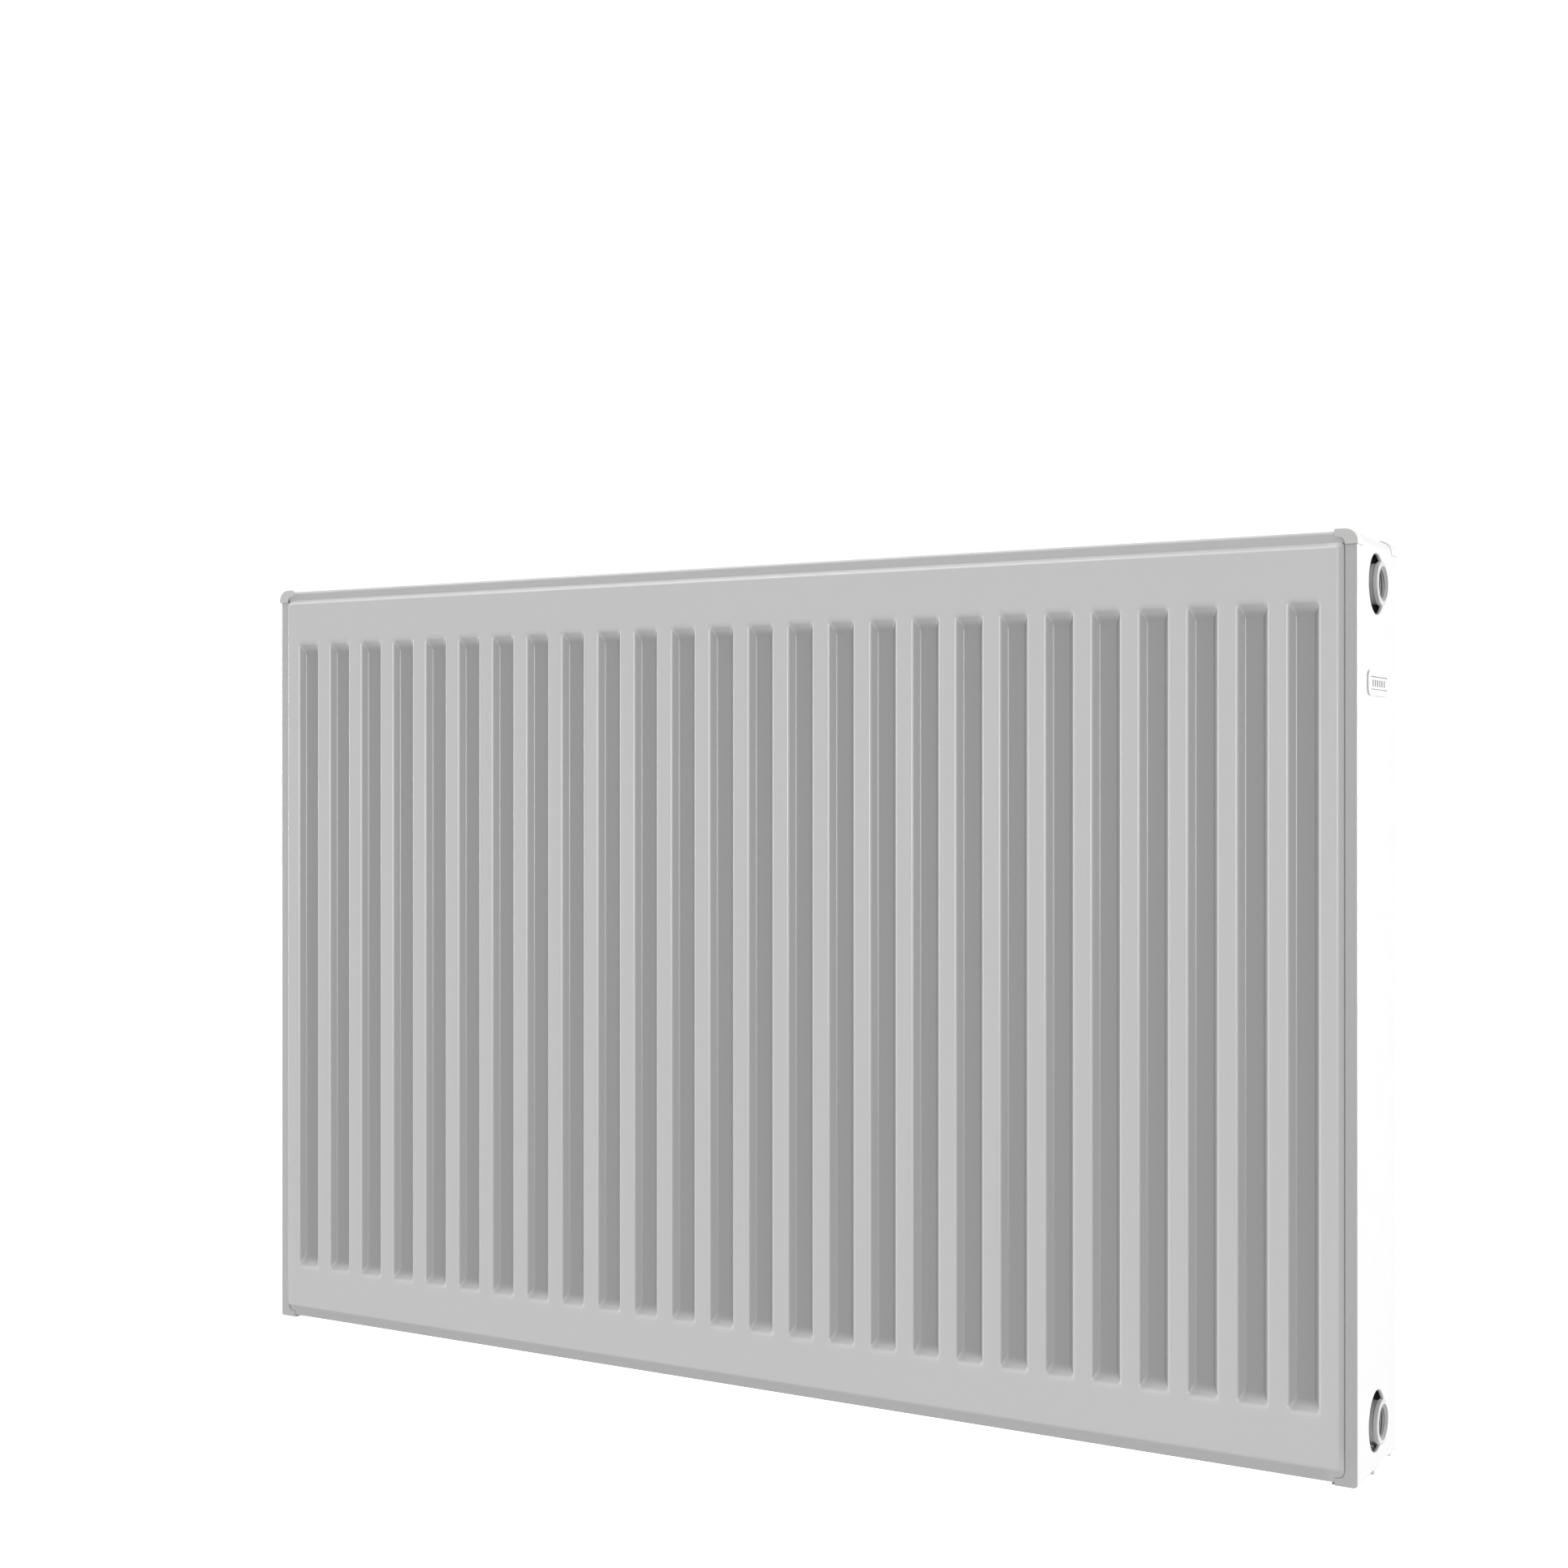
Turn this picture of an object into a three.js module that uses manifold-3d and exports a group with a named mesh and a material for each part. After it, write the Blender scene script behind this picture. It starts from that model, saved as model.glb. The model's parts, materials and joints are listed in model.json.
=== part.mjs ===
// Compact double-panel steel radiator with two convectors, clip-on side covers and a lift-off grille.
// Millimetres, +Z up. The front faces -Y and the wall is at +Y. The parts are drawn with x = 0 at
// mid length, y = 0 at the front face and z = 0 at the bottom rim, and the whole group is then
// moved so that its origin lies on the wall side, midway between the four hanger lugs.
import * as THREE from 'three';
import { mergeVertices } from 'three/addons/utils/BufferGeometryUtils.js';
import Module from 'manifold-3d';

const wasm = await Module();
wasm.setup();

// ---- Driving dimensions -------------------------------------------------------------------
const LENGTH = 900;          // over the two side covers
const DEPTH = 102;           // front face to rear face
const RIM_TOP = 598.5;       // top of the panels' seam rim
const GAP = 0.3;             // clearance between pieces that touch
const LUG_REACH = 15;        // hanger lugs stand this far off the rear face

const PITCH = 100 / 3;       // flute to flute
const FLUTES = 26;
const PRESS_DEPTH = 5.4;     // flutes and rim lie this far behind the face
const SHEET = 1.2;           // panel steel
const TRIM = 0.8;            // cover and grille steel

const TEE_FROM_END = 29.5;   // connection axes from the top and bottom of the panel
const TEE_TO_TEE = 541;
const ROUND = 20;            // facets on connection parts
const SMALL_ROUND = 10;      // facets on small holes and spouts
const OVERCUT = 1;           // a cutter starts this far outside what it cuts

// ---- Dimensions worked out from them ------------------------------------------------------
const HALF = LENGTH / 2;
const MID_DEPTH = DEPTH / 2;
const SEAM = PRESS_DEPTH + SHEET + GAP / 2;        // seam plane behind each panel's face
const PANEL_THICK = 2 * SEAM;
const REAR_PANEL_Y = DEPTH - PANEL_THICK;
const RIM_X = HALF - 1.3;
const WALL_PLANE = DEPTH + LUG_REACH;
const TRIM_FACE = PRESS_DEPTH - GAP - TRIM;        // outer plane of the cover flanges and grille lips
const GRILLE_TOP = RIM_TOP + 2.3;
const MID_HEIGHT = TEE_FROM_END + TEE_TO_TEE / 2;

// ---- Finishes -----------------------------------------------------------------------------
const finish = (color, roughness, metalness) =>
  new THREE.MeshStandardMaterial({ color, roughness, metalness });
const paint = finish(0xf1f2ef, 0.4, 0.0);
const trimPaint = finish(0xf4f4f2, 0.4, 0.0);
const plastic = finish(0xf2f2f0, 0.5, 0.0);
const nickel = finish(0xc9c7c0, 0.3, 1.0);
const brass = finish(0xc9a24e, 0.35, 1.0);
const rubber = finish(0x2a2a2c, 0.8, 0.0);

// ---- Geometry helpers ---------------------------------------------------------------------
function toSolid(geometry) {
  const bare = geometry.clone();
  bare.deleteAttribute('normal');
  bare.deleteAttribute('uv');
  const merged = mergeVertices(bare, 1e-4);
  return new wasm.Manifold(new wasm.Mesh({
    numProp: 3,
    vertProperties: new Float32Array(merged.attributes.position.array),
    triVerts: new Uint32Array(merged.index.array),
  }));
}

function toGeometry(solid) {
  const mesh = solid.getMesh();
  const geometry = new THREE.BufferGeometry();
  geometry.setAttribute('position', new THREE.BufferAttribute(mesh.vertProperties, 3));
  geometry.setIndex(new THREE.BufferAttribute(mesh.triVerts, 1));
  return geometry;
}

function join(...solids) {
  return solids.reduce((sum, solid) => sum.add(solid));
}

// A block between two corners.
function block(x0, x1, y0, y1, z0, z1) {
  const geometry = new THREE.BoxGeometry(x1 - x0, y1 - y0, z1 - z0);
  geometry.translate((x0 + x1) / 2, (y0 + y1) / 2, (z0 + z1) / 2);
  return toSolid(geometry);
}

// A four-sided solid that tapers from one rectangle, at y0, to another, at y1.
function taper(y0, half0, low0, high0, y1, half1, low1, high1) {
  const corners = [
    [-half0, y0, low0], [half0, y0, low0], [half0, y0, high0], [-half0, y0, high0],
    [-half1, y1, low1], [half1, y1, low1], [half1, y1, high1], [-half1, y1, high1],
  ];
  const geometry = new THREE.BufferGeometry();
  geometry.setAttribute('position', new THREE.Float32BufferAttribute(corners.flat(), 3));
  geometry.setIndex([
    0, 1, 2, 0, 2, 3, 5, 4, 7, 5, 7, 6, 4, 5, 1, 4, 1, 0,
    3, 2, 6, 3, 6, 7, 4, 0, 3, 4, 3, 7, 1, 5, 6, 1, 6, 2,
  ]);
  return toSolid(geometry);
}

// An outline given in (x, z), as thick as y0 to y1.
function plateXZ(shape, y0, y1) {
  const geometry = new THREE.ExtrudeGeometry(shape, { depth: y1 - y0, bevelEnabled: false, curveSegments: 5 });
  geometry.rotateX(Math.PI / 2);
  geometry.translate(0, y1, 0);
  return toSolid(geometry);
}

// An outline given in (x, y), as tall as z0 to z1.
function prismZ(shape, z0, z1) {
  const geometry = new THREE.ExtrudeGeometry(shape, { depth: z1 - z0, bevelEnabled: false, curveSegments: 5 });
  geometry.translate(0, 0, z0);
  return toSolid(geometry);
}

// An outline given in (y, z), as long as x0 to x1.
function prismX(shape, x0, x1) {
  const geometry = new THREE.ExtrudeGeometry(shape, { depth: x1 - x0, bevelEnabled: false, curveSegments: 4 });
  const axes = new THREE.Matrix4().makeBasis(
    new THREE.Vector3(0, 1, 0), new THREE.Vector3(0, 0, 1), new THREE.Vector3(1, 0, 0));
  geometry.applyMatrix4(axes);
  geometry.translate(x0, 0, 0);
  return toSolid(geometry);
}

// A turned solid about the X axis, from [radius, x] points.
function turnedX(points, facets = ROUND) {
  const outline = points.map(([radius, along]) => new THREE.Vector2(radius, along));
  const geometry = new THREE.LatheGeometry(outline, facets);
  geometry.rotateZ(-Math.PI / 2);
  return toSolid(geometry);
}

// A round bar or cutter about the X axis.
const rodX = (radius, x0, x1, facets = ROUND) =>
  turnedX([[0, x0], [radius, x0], [radius, x1], [0, x1]], facets);

// A strip of sheet of the given thickness, bent along a centre line of [u, v] points.
function strip(points, thickness) {
  const along = points.slice(1).map(([u, v], i) =>
    new THREE.Vector2(u - points[i][0], v - points[i][1]).normalize());
  const offset = (sign) => points.map(([u, v], i) => {
    const before = along[Math.max(i - 1, 0)];
    const after = along[Math.min(i, along.length - 1)];
    const normal = new THREE.Vector2(-before.y - after.y, before.x + after.x).normalize();
    const reach = sign * thickness / 2 / Math.max(normal.dot(new THREE.Vector2(-after.y, after.x)), 0.2);
    return new THREE.Vector2(u + normal.x * reach, v + normal.y * reach);
  });
  return new THREE.Shape([...offset(-1), ...offset(1).reverse()]);
}

// The same piece as seen in a mirror across x = 0.
function mirrorX(geometry) {
  const mirrored = geometry.clone().applyMatrix4(new THREE.Matrix4().makeScale(-1, 1, 1));
  const index = mirrored.index.array;
  for (let i = 0; i < index.length; i += 3) {
    [index[i + 1], index[i + 2]] = [index[i + 2], index[i + 1]];
  }
  return mirrored;
}

const radiator = new THREE.Group();
radiator.position.set(0, -WALL_PLANE, -MID_HEIGHT);

function addMesh(name, geometry, material, placed = {}) {
  const mesh = new THREE.Mesh(geometry, material);
  mesh.name = name;
  mesh.position.set(placed.x ?? 0, placed.y ?? 0, placed.z ?? 0);
  mesh.rotation.z = placed.turn ?? 0;
  radiator.add(mesh);
  return mesh;
}

// ---- Pressed panel sheets -----------------------------------------------------------------
const FACE_X = HALF - 10.8;        // sharp edge of the raised face
const FOOT_X = HALF - 8.5;         // where its flank meets the rim
const FACE_LOW = 10.5;
const FOOT_LOW = 7;
const FLUTE_LOW = 43;              // sharp end of the flutes
const FLUTE_MOUTH = 10.7;          // half widths of a flute, at the face and at its floor
const FLUTE_FLOOR = 5.8;
const RIM_CORNER_TOP = 7;
const RIM_CORNER_LOW = 3;

function rimOutline() {
  const shape = new THREE.Shape();
  shape.moveTo(-RIM_X + RIM_CORNER_LOW, 0);
  shape.lineTo(RIM_X - RIM_CORNER_LOW, 0);
  shape.lineTo(RIM_X, RIM_CORNER_LOW);
  shape.lineTo(RIM_X, RIM_TOP - RIM_CORNER_TOP);
  shape.absarc(RIM_X - RIM_CORNER_TOP, RIM_TOP - RIM_CORNER_TOP, RIM_CORNER_TOP, 0, Math.PI / 2);
  shape.lineTo(-RIM_X + RIM_CORNER_TOP, RIM_TOP);
  shape.absarc(-RIM_X + RIM_CORNER_TOP, RIM_TOP - RIM_CORNER_TOP, RIM_CORNER_TOP, Math.PI / 2, Math.PI);
  shape.lineTo(-RIM_X, RIM_CORNER_LOW);
  return shape;
}

// The press form that a sheet is laid over: rim, raised face and flutes, `back` mm behind the face.
function pressForm(back, rear) {
  const high = (low) => 2 * MID_HEIGHT - low;
  const runOut = (face, foot) => face + (foot - face) * (rear - back) / PRESS_DEPTH;
  const rim = plateXZ(rimOutline(), PRESS_DEPTH + back, rear);
  const raisedLow = runOut(FACE_LOW, FOOT_LOW);
  const raised = taper(back, FACE_X, FACE_LOW, high(FACE_LOW),
    rear, runOut(FACE_X, FOOT_X), raisedLow, high(raisedLow));
  const slope = (FLUTE_MOUTH - FLUTE_FLOOR) / PRESS_DEPTH;
  const mouth = FLUTE_MOUTH + slope * OVERCUT;
  const mouthLow = FLUTE_LOW - slope * OVERCUT;
  const floorLow = FLUTE_LOW + FLUTE_MOUTH - FLUTE_FLOOR;
  const flute = taper(back - OVERCUT, mouth, mouthLow, high(mouthLow),
    back + PRESS_DEPTH, FLUTE_FLOOR, floorLow, high(floorLow));
  const flutes = [];
  for (let i = 0; i < FLUTES; i += 1) {
    flutes.push(flute.translate([(i - (FLUTES - 1) / 2) * PITCH, 0, 0]));
  }
  return rim.add(raised).subtract(join(...flutes));
}

const seamFace = PRESS_DEPTH + SHEET;
const outerSheet = pressForm(0, seamFace).subtract(pressForm(SHEET, seamFace + SHEET));
const TEE_X = HALF - 26;
const teeHeights = { bottom: TEE_FROM_END, top: TEE_FROM_END + TEE_TO_TEE };
const WATERWAY = 8;
const waterHole = toSolid(
  new THREE.CylinderGeometry(WATERWAY, WATERWAY, 2 * (SHEET + OVERCUT), SMALL_ROUND));
const waterHoles = [-TEE_X, TEE_X].flatMap((x) =>
  Object.values(teeHeights).map((z) => waterHole.translate([x, 0, z])));
const innerSheet = outerSheet.subtract(join(...waterHoles));

const outerGeometry = toGeometry(outerSheet);
const innerGeometry = toGeometry(innerSheet);
addMesh('front_panel_outer_sheet', outerGeometry, paint);
addMesh('front_panel_inner_sheet', innerGeometry, paint, { y: PANEL_THICK, turn: Math.PI });
addMesh('rear_panel_inner_sheet', innerGeometry.clone(), paint, { y: REAR_PANEL_Y });
addMesh('rear_panel_outer_sheet', outerGeometry.clone(), paint, { y: DEPTH, turn: Math.PI });

// ---- Convectors ---------------------------------------------------------------------------
const CONVECTOR_STEEL = 0.4;
const CONVECTOR_DEPTH = 35.5;
const CONVECTOR_LOW = 55;
const CONVECTOR_HIGH = 545;
const CONVECTOR_WAVES = 24;
const FOOT_HALF = 4;               // half width of the foot on a water channel
const CREST_HALF = 5;

function convectorGeometry() {
  const near = CONVECTOR_STEEL / 2;
  const far = CONVECTOR_DEPTH - CONVECTOR_STEEL / 2;
  const line = [];
  for (let k = 0; k <= CONVECTOR_WAVES; k += 1) {
    const channel = (k - CONVECTOR_WAVES / 2) * PITCH;
    line.push([channel - FOOT_HALF, near], [channel + FOOT_HALF, near]);
    if (k < CONVECTOR_WAVES) {
      const crest = channel + PITCH / 2;
      line.push([crest - CREST_HALF, far], [crest + CREST_HALF, far]);
    }
  }
  return toGeometry(prismZ(strip(line, CONVECTOR_STEEL), CONVECTOR_LOW, CONVECTOR_HIGH));
}

const convector = convectorGeometry();
addMesh('front_convector', convector, paint, { y: PANEL_THICK + GAP });
addMesh('rear_convector', convector.clone(), paint, { y: REAR_PANEL_Y - GAP, turn: Math.PI });

// ---- Tee connections: a tube between the panels with a threaded socket out to the side ----
const TEE_RADIUS = 13.25;
const SOCKET_RADIUS = 14.3;
const SOCKET_END = HALF + 4;
const THREAD_RADIUS = 9.35;        // G1/2 minor radius
const THREAD_DEPTH = 14;
const CHAMFER = 2.1;

function teeGeometry() {
  const y0 = PANEL_THICK + GAP - MID_DEPTH;
  const tube = (radius, reach) =>
    toSolid(new THREE.CylinderGeometry(radius, radius, 2 * reach, ROUND));
  const body = tube(TEE_RADIUS, -y0).translate([TEE_X, 0, 0]);
  const socket = rodX(SOCKET_RADIUS, TEE_X, SOCKET_END);
  const waterway = tube(WATERWAY, OVERCUT - y0).translate([TEE_X, 0, 0]);
  const bore = turnedX([
    [0, TEE_X], [WATERWAY, TEE_X], [WATERWAY, SOCKET_END - THREAD_DEPTH],
    [THREAD_RADIUS, SOCKET_END - THREAD_DEPTH], [THREAD_RADIUS, SOCKET_END - CHAMFER],
    [THREAD_RADIUS + CHAMFER, SOCKET_END], [THREAD_RADIUS + CHAMFER, SOCKET_END + OVERCUT],
    [0, SOCKET_END + OVERCUT],
  ]);
  return toGeometry(body.add(socket).subtract(waterway.add(bore)));
}

const tee = teeGeometry();
for (const [level, z] of Object.entries(teeHeights)) {
  addMesh(`tee_connection_right_${level}`, tee.clone(), paint, { y: MID_DEPTH, z });
  addMesh(`tee_connection_left_${level}`, tee.clone(), paint, { y: MID_DEPTH, z, turn: Math.PI });
}

// ---- Hanger lugs: bent straps on the rear water channels, open above and below ------------
const LUG_STEEL = 2;
const LUG_HEIGHT = 40;
const LUG_FROM_END = 80;
const LUG_CHANNEL = 10.5;          // lug centre, counted in pitches from mid length
const LUG_FOOT = 7;                // width of each welded foot
const LUG_FOOT_INSIDE = 3;         // how much of it lies inside the strap's span
const LUG_LEG_RUN = 2;             // sideways run of the leg up to the crown

function lugGeometry() {
  const foot = GAP + LUG_STEEL / 2;
  const crown = LUG_REACH - LUG_STEEL / 2;
  const half = PITCH / 2;
  const footIn = half - LUG_FOOT_INSIDE;
  const footOut = footIn + LUG_FOOT;
  const crownEdge = footIn - LUG_LEG_RUN;
  const line = [[-footOut, foot], [-footIn, foot], [-crownEdge, crown],
    [crownEdge, crown], [footIn, foot], [footOut, foot]];
  return toGeometry(prismZ(strip(line, LUG_STEEL), -LUG_HEIGHT / 2, LUG_HEIGHT / 2));
}

const lug = lugGeometry();
for (const [level, side] of [['bottom', -1], ['top', 1]]) {
  const z = MID_HEIGHT + side * (MID_HEIGHT - LUG_FROM_END);
  addMesh(`hanger_lug_left_${level}`, lug.clone(), paint, { x: -LUG_CHANNEL * PITCH, y: DEPTH, z });
  addMesh(`hanger_lug_right_${level}`, lug.clone(), paint, { x: LUG_CHANNEL * PITCH, y: DEPTH, z });
}

// ---- Side covers: a channel around the panels' ends, with hooks under the bottom corners --
const FLANGE = 7.9;                // visible width of the front and rear flanges
const HOOK_REACH = 14.8;           // inward reach of a bottom hook from the outer face
const HOOK_HEIGHT = 4.8;
const HOOK_DROP = 1.5;             // hook's lower edge below the panel
const HOOK_CORNER = 2.75;
const HOOK_HOLLOW = 4.75;
const COVER_SEAM = 592;            // joint between the cover and a corner clip
const NOTCH_DEPTH = 13;            // the corner clip's place, back from the flange
const HOLE_RADIUS = 20.85;
const COLLAR_RADIUS = 19.5;
const COLLAR_REACH = 3.6;
const HOLE_MARGIN = 1.2;           // ring of flat sheet that the collar piece takes in round its hole
const FOOT_TAB = { reach: 4.4, from: MID_DEPTH - 5, to: MID_DEPTH + 5, drop: 2.7 };
const REAR_TAB = { reach: 3.6, from: DEPTH - 16, to: DEPTH - 10, drop: 1.35 };

function coverGeometry() {
  const inner = HALF - TRIM;
  const flangeEdge = HALF - FLANGE;
  const flangeOutline = new THREE.Shape();
  flangeOutline.moveTo(HALF, COVER_SEAM - GAP / 2);
  flangeOutline.lineTo(flangeEdge, COVER_SEAM - GAP / 2);
  flangeOutline.lineTo(flangeEdge, HOOK_HEIGHT - HOOK_DROP + HOOK_HOLLOW);
  flangeOutline.absarc(flangeEdge - HOOK_HOLLOW, HOOK_HEIGHT - HOOK_DROP + HOOK_HOLLOW,
    HOOK_HOLLOW, 0, -Math.PI / 2, true);
  flangeOutline.lineTo(HALF - HOOK_REACH, HOOK_HEIGHT - HOOK_DROP);
  flangeOutline.lineTo(HALF - HOOK_REACH, -HOOK_DROP);
  flangeOutline.lineTo(HALF - HOOK_CORNER, -HOOK_DROP);
  flangeOutline.absarc(HALF - HOOK_CORNER, HOOK_CORNER - HOOK_DROP, HOOK_CORNER, -Math.PI / 2, 0);
  const frontFlange = plateXZ(flangeOutline, TRIM_FACE, TRIM_FACE + TRIM);
  const rearFlange = plateXZ(flangeOutline, DEPTH - TRIM_FACE - TRIM, DEPTH - TRIM_FACE);

  const notchEnd = TRIM_FACE + NOTCH_DEPTH;
  const webOutline = new THREE.Shape();
  webOutline.moveTo(TRIM_FACE, HOOK_CORNER - HOOK_DROP);
  webOutline.lineTo(DEPTH - TRIM_FACE, HOOK_CORNER - HOOK_DROP);
  webOutline.lineTo(DEPTH - TRIM_FACE, COVER_SEAM - GAP / 2);
  webOutline.lineTo(DEPTH - notchEnd, COVER_SEAM - GAP / 2);
  webOutline.lineTo(DEPTH - notchEnd, GRILLE_TOP);
  webOutline.lineTo(notchEnd, GRILLE_TOP);
  webOutline.lineTo(notchEnd, COVER_SEAM - GAP / 2);
  webOutline.lineTo(TRIM_FACE, COVER_SEAM - GAP / 2);
  const web = prismX(webOutline, inner, HALF);
  const topFlange = block(flangeEdge, HALF, notchEnd, DEPTH - notchEnd, GRILLE_TOP - TRIM, GRILLE_TOP);

  // The bottom flange turns in from the web through a quarter bend.
  const bend = new THREE.Shape();
  bend.moveTo(HALF, HOOK_CORNER - HOOK_DROP);
  bend.lineTo(inner, HOOK_CORNER - HOOK_DROP);
  bend.absarc(HALF - HOOK_CORNER, HOOK_CORNER - HOOK_DROP, HOOK_CORNER - TRIM, 0, -Math.PI / 2, true);
  bend.lineTo(flangeEdge, TRIM - HOOK_DROP);
  bend.lineTo(flangeEdge, -HOOK_DROP);
  bend.lineTo(HALF - HOOK_CORNER, -HOOK_DROP);
  bend.absarc(HALF - HOOK_CORNER, HOOK_CORNER - HOOK_DROP, HOOK_CORNER, -Math.PI / 2, 0);
  const bottomFlange = plateXZ(bend, TRIM_FACE, DEPTH - TRIM_FACE);
  const tabs = [FOOT_TAB, REAR_TAB].map(({ reach, from, to, drop }) =>
    block(HALF - reach, inner, from, to, -HOOK_DROP - drop, TRIM - HOOK_DROP));

  // Each hole's edge rolls inward, through a quarter round, to a short collar.
  const roll = HOLE_RADIUS - COLLAR_RADIUS;
  const collar = turnedX([
    [COLLAR_RADIUS, inner - COLLAR_REACH], [COLLAR_RADIUS + TRIM, inner - COLLAR_REACH],
    [COLLAR_RADIUS + TRIM, inner - TRIM / 2], [HOLE_RADIUS + HOLE_MARGIN, inner],
    [HOLE_RADIUS + HOLE_MARGIN, HALF], [HOLE_RADIUS, HALF],
    [HOLE_RADIUS - roll * Math.SQRT1_2, HALF - roll * (1 - Math.SQRT1_2)],
    [COLLAR_RADIUS, HALF - roll], [COLLAR_RADIUS, inner - COLLAR_REACH],
  ]);
  const holeCut = rodX(HOLE_RADIUS + HOLE_MARGIN / 2, inner - OVERCUT, HALF + OVERCUT);
  const places = Object.values(teeHeights).map((z) => [0, MID_DEPTH, z]);
  const shell = join(frontFlange, rearFlange, web, topFlange, bottomFlange, ...tabs);
  const cuts = join(...places.map((place) => holeCut.translate(place)));
  return toGeometry(join(shell.subtract(cuts), ...places.map((place) => collar.translate(place))));
}

const cover = coverGeometry();
addMesh('side_cover_right', cover, trimPaint);
addMesh('side_cover_left', mirrorX(cover), trimPaint);

// ---- Corner clips: caps over the top corners, with a tongue down inside the cover ---------
const CLIP_WALL = 1;
const CLIP_FACE = TRIM_FACE - GAP - CLIP_WALL;
const CLIP_TOP = GRILLE_TOP + 1.2;
const CLIP_SIDE = HALF + 0.5;
const CLIP_RADIUS = 8.5;
const CLIP_HOLLOW = 5;
const CLIP_ARM = 5.1;
const CLIP_REACH = 14.5;           // inward reach of the arm from the outer face
const TONGUE_DROP = 10;
const TONGUE_THICK = 1.6;
const TONGUE_NEAR = 6;             // front and back edges of the tongue, behind the flange's face
const TONGUE_FAR = 11;
const TONGUE_ROOT = 2;             // the tongue joins the cap up to here above the hoop's centre

function clipGeometry() {
  const low = COVER_SEAM + GAP / 2;
  const arcX = CLIP_SIDE - CLIP_RADIUS;
  const arcZ = CLIP_TOP - CLIP_RADIUS;
  const legEdge = HALF - FLANGE;
  const plate = new THREE.Shape();
  plate.moveTo(CLIP_SIDE, low);
  plate.lineTo(CLIP_SIDE, arcZ);
  plate.absarc(arcX, arcZ, CLIP_RADIUS, 0, Math.PI / 2);
  plate.lineTo(HALF - CLIP_REACH, CLIP_TOP);
  plate.lineTo(HALF - CLIP_REACH, CLIP_TOP - CLIP_ARM);
  plate.lineTo(legEdge - CLIP_HOLLOW, CLIP_TOP - CLIP_ARM);
  plate.quadraticCurveTo(legEdge, CLIP_TOP - CLIP_ARM, legEdge, low);
  const front = plateXZ(plate, CLIP_FACE, CLIP_FACE + CLIP_WALL);

  const hoop = new THREE.Shape();
  hoop.moveTo(CLIP_SIDE, low);
  hoop.lineTo(CLIP_SIDE, arcZ);
  hoop.absarc(arcX, arcZ, CLIP_RADIUS, 0, Math.PI / 2);
  hoop.lineTo(arcX, CLIP_TOP - CLIP_WALL);
  hoop.absarc(arcX, arcZ, CLIP_RADIUS - CLIP_WALL, Math.PI / 2, 0, true);
  hoop.lineTo(CLIP_SIDE - CLIP_WALL, low);
  const wall = plateXZ(hoop, CLIP_FACE, TRIM_FACE + NOTCH_DEPTH - GAP);

  const tongueOut = HALF - TRIM - GAP;
  const tongueIn = tongueOut - TONGUE_THICK;
  const near = TRIM_FACE + TONGUE_NEAR;
  const far = TRIM_FACE + TONGUE_FAR;
  const tongue = block(tongueIn, tongueOut, near, far, low - TONGUE_DROP, arcZ + TONGUE_ROOT);
  const bridge = block(tongueIn, CLIP_SIDE - CLIP_WALL / 2, near, far, low, arcZ + TONGUE_ROOT);
  return toGeometry(join(front, wall, tongue, bridge));
}

const clipRight = clipGeometry();
const clipLeft = mirrorX(clipRight);
addMesh('corner_clip_right_front', clipRight, plastic);
addMesh('corner_clip_left_front', clipLeft, plastic);
addMesh('corner_clip_right_rear', clipLeft.clone(), plastic, { y: DEPTH, turn: Math.PI });
addMesh('corner_clip_left_rear', clipRight.clone(), plastic, { y: DEPTH, turn: Math.PI });

// ---- Top grille and the spring clips under it ---------------------------------------------
const GRILLE_END_GAP = 0.7;        // between the grille's end and a cover's flange
const GRILLE_HALF = HALF - FLANGE - GRILLE_END_GAP;
const LIP_DROP = 6.2;
const GRILLE_BEND = 2.5;
const SLOT_PITCH = 0.4 * PITCH;
const SLOT_WIDTH = 9;
const SLOT_COUNT = 63;
const SLOT_FROM = 12;              // a row of slots, from the front face; the other row mirrors it
const SLOT_TO = 46;
const SLOT_ROWS = [[SLOT_FROM, SLOT_TO], [DEPTH - SLOT_TO, DEPTH - SLOT_FROM]];

function grilleGeometry() {
  const lip = TRIM_FACE + TRIM / 2;
  const top = GRILLE_TOP - TRIM / 2;
  const bend = GRILLE_BEND - TRIM / 2;
  const corner = [0, 30, 60, 90].map((degrees) => {
    const angle = THREE.MathUtils.degToRad(degrees);
    return [lip + bend * (1 - Math.cos(angle)), top - bend * (1 - Math.sin(angle))];
  });
  const front = [[lip, GRILLE_TOP - LIP_DROP], ...corner];
  const line = [...front, ...front.map(([y, z]) => [DEPTH - y, z]).reverse()];
  const sheet = prismX(strip(line, TRIM), -GRILLE_HALF, GRILLE_HALF);
  const slots = [];
  for (const [y0, y1] of SLOT_ROWS) {
    for (let i = 0; i < SLOT_COUNT; i += 1) {
      const x = (i - (SLOT_COUNT - 1) / 2) * SLOT_PITCH;
      slots.push(block(x - SLOT_WIDTH / 2, x + SLOT_WIDTH / 2, y0, y1,
        GRILLE_TOP - TRIM - OVERCUT, GRILLE_TOP + OVERCUT));
    }
  }
  return toGeometry(sheet.subtract(join(...slots)));
}

addMesh('top_grille', grilleGeometry(), trimPaint);

const CLIP_STRAP_HALF = 8;
const STRAP_DROP = 28;
const STRAP_BEND = 3;
const STRAP_PLACES = { left: -7 * PITCH, middle: 0, right: 7 * PITCH };

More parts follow.
